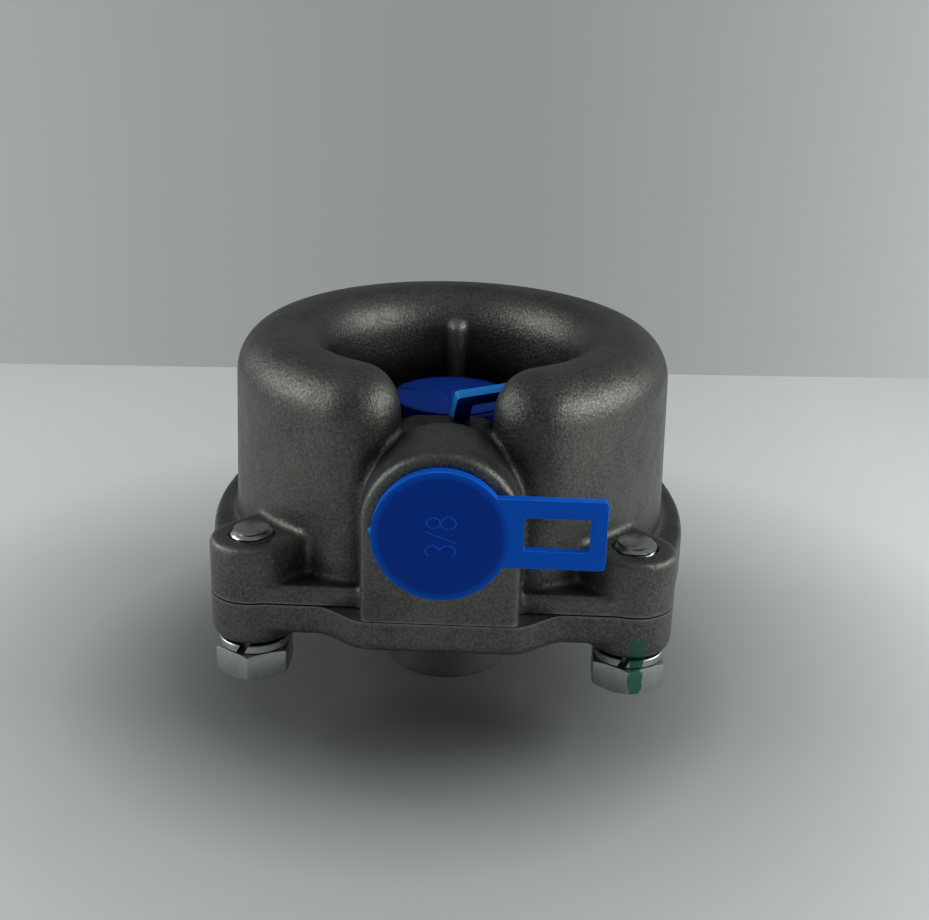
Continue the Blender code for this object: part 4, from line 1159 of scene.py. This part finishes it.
def add_camera():
    level = Vector((math.sin(CAMERA_YAW), math.cos(CAMERA_YAW), 0))
    forward = level * math.cos(CAMERA_PITCH) - Vector((0, 0, math.sin(CAMERA_PITCH)))
    right = Vector((math.cos(CAMERA_YAW), -math.sin(CAMERA_YAW), 0))
    up = right.cross(forward)
    across = right * math.cos(CAMERA_ROLL) + up * math.sin(CAMERA_ROLL)
    upward = up * math.cos(CAMERA_ROLL) - right * math.sin(CAMERA_ROLL)
    eye = Vector(CAMERA_AIM) - forward * CAMERA_REACH
    bpy.ops.object.camera_add()
    camera = bpy.context.object
    turn = Matrix((across, upward, -forward)).transposed().to_4x4()
    camera.matrix_world = Matrix.Translation(eye * MM) @ turn
    camera.data.sensor_width = SENSOR
    camera.data.lens = FOCAL_LENGTH / PHOTO_WIDTH * SENSOR
    camera.data.clip_start = 0.01
    camera.data.clip_end = 20
    bpy.context.scene.camera = camera


def stage_finish(name, left, middle, right, reach, roughness):
    """Greys for the left, the middle and the right, which run into each other over the reach in metres:
    painted light, lighter at the sides where the panels stand.
    """
    left, middle, right = (tuple(value * part for part in COOL_GREY) for value in (left, middle, right))
    made, shader = start_finish(name, middle, roughness, 0.0)
    shader.inputs["Specular IOR Level"].default_value = 0.3
    grey = middle
    for far, side in ((-reach, left), (reach, right)):
        share = ranged(made, place_along(made, "X"), 0, far, 0, 1)
        share = arithmetic(made, "MULTIPLY", share, ranged(made, share, 0, 1, 0.3, 1))
        grey = blend_colours(made, share, grey, side)
    link(made, grey, shader.inputs["Base Color"])
    return made, grey


def show_bright(finish, grey, strength, mirrored):
    """Adds a grey glow that only the camera, glass and, at the share mirrored, the metal see."""
    rays = node(finish, "LightPath")
    in_metal = arithmetic(finish, "MULTIPLY", rays.outputs["Is Glossy Ray"], mirrored)
    seen = arithmetic(finish, "MAXIMUM", rays.outputs["Is Camera Ray"], in_metal)
    seen = arithmetic(finish, "MAXIMUM", seen, rays.outputs["Is Transmission Ray"])
    glow = node(finish, "Emission")
    link(finish, grey, glow.inputs["Color"])
    link(finish, arithmetic(finish, "MULTIPLY", seen, strength), glow.inputs["Strength"])
    both = node(finish, "AddShader")
    link(finish, finish.node_tree.nodes["Principled BSDF"].outputs["BSDF"], both.inputs[0])
    link(finish, glow.outputs["Emission"], both.inputs[1])
    link(finish, both.outputs["Shader"], finish.node_tree.nodes["Material Output"].inputs["Surface"])


def floor_finish():
    """Beneath the valve the floor's colour is darkened, a painted shadow, and away from it a painted glow
    that rises with the distance makes it as bright as the room.
    """
    made, grey = stage_finish("pale_floor", 0.52, 0.5, 0.6, 0.12, 0.6)
    gap = distance_across(made, (0, 0, 0), (1, 1, 0))
    below = distance_across(made, SHADOW_MIDDLE, (1, 1, 0))
    # painted shadow beneath the valve
    under = blend_colours(made, ranged(made, below, 0.03, 0.07, 0.65, 0), grey, (0.02, 0.021, 0.021))
    link(made, under, made.node_tree.nodes["Principled BSDF"].inputs["Base Color"])
    show_bright(made, grey, ranged(made, gap, 0.055, 0.13, 0, 0.46), 1.0)
    return made


def backdrop_finish():
    made, grey = stage_finish("grey_backdrop", 0.3, 0.22, 0.38, 0.3, 0.8)
    show_bright(made, grey, 1.1, 0.5)
    return made


def add_stage():
    """The table's rear edge runs a little askew behind the valve, with the backdrop beyond it."""
    bpy.ops.object.select_all(action="DESELECT")
    away = Vector((-math.sin(TABLE_TURN), math.cos(TABLE_TURN), 0))
    middle = Vector((0, TABLE_EDGE, -TABLE_DROP)) - away * TABLE_HALF
    bpy.ops.mesh.primitive_plane_add(size=2 * TABLE_HALF, location=middle, rotation=(0, 0, TABLE_TURN))
    floor = bpy.context.object
    floor.name = "floor"
    bpy.ops.object.transform_apply(location=True, rotation=True, scale=True)
    finish_with(floor, floor_finish())
    bpy.ops.mesh.primitive_plane_add(size=BACKDROP_SIZE, location=(0, BACKDROP_Y, 0),
                                     rotation=(math.pi / 2, 0, TABLE_TURN))
    wall = bpy.context.object
    wall.name = "backdrop"
    bpy.ops.object.transform_apply(location=True, rotation=True, scale=True)
    finish_with(wall, backdrop_finish())


def add_light(name, place, aim, size, power):
    bpy.ops.object.light_add(type="AREA", location=place)
    light = bpy.context.object
    light.name = name
    light.data.shape = "RECTANGLE"
    light.data.size, light.data.size_y = size
    light.data.energy = power
    light.rotation_euler = (Vector(aim) - Vector(place)).to_track_quat("-Z", "Y").to_euler()


def add_lights():
    """A panel stands on each side of the valve, and the room's own light is dimmer in front."""
    aim = (0, 0, 0)
    add_light("left_panel", (-0.28, -0.01, 0.17), aim, (0.26, 0.1), 0.38)
    add_light("right_panel", (0.28, -0.04, 0.17), aim, (0.24, 0.1), 0.47)
    world = bpy.data.worlds.new("studio")
    bpy.context.scene.world = world
    world.use_nodes = True
    place = node(world, "SeparateXYZ")
    link(world, node(world, "TexCoord").outputs["Generated"], place.inputs["Vector"])
    level = ranged(world, place.outputs["Y"], -1.0, 0.2, 0.16, 0.4)
    link(world, level, world.node_tree.nodes["Background"].inputs["Strength"])
    world.node_tree.nodes["Background"].inputs["Color"].default_value = (0.93, 0.97, 1.0, 1)


add_camera()
add_stage()
add_lights()
make_housing()
make_cover()
make_fasteners()
make_front_plug()
make_top_plug()

# Inner pieces keep their CAD meshes and get their finishes
inner_finishes = {
    "cover_seal": RUBBER, "piston_seal": RUBBER, "drain_disc": RUBBER, "check_disc": RUBBER,
    "drain_seat": BRASS, "control_piston": BRASS, "inlet_strainer": BRASS,
    "return_spring": STEEL, "check_spring": STEEL, "check_spring_plate": STEEL, "retaining_ring": STEEL,
    "valve_stem": STEEL, "piston_nut": ZINC, "drain_disc_nut": ZINC,
}
for inner_name, inner_finish in inner_finishes.items():
    finish_with(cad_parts[inner_name], inner_finish)

bpy.context.scene.view_settings.view_transform = "Standard"
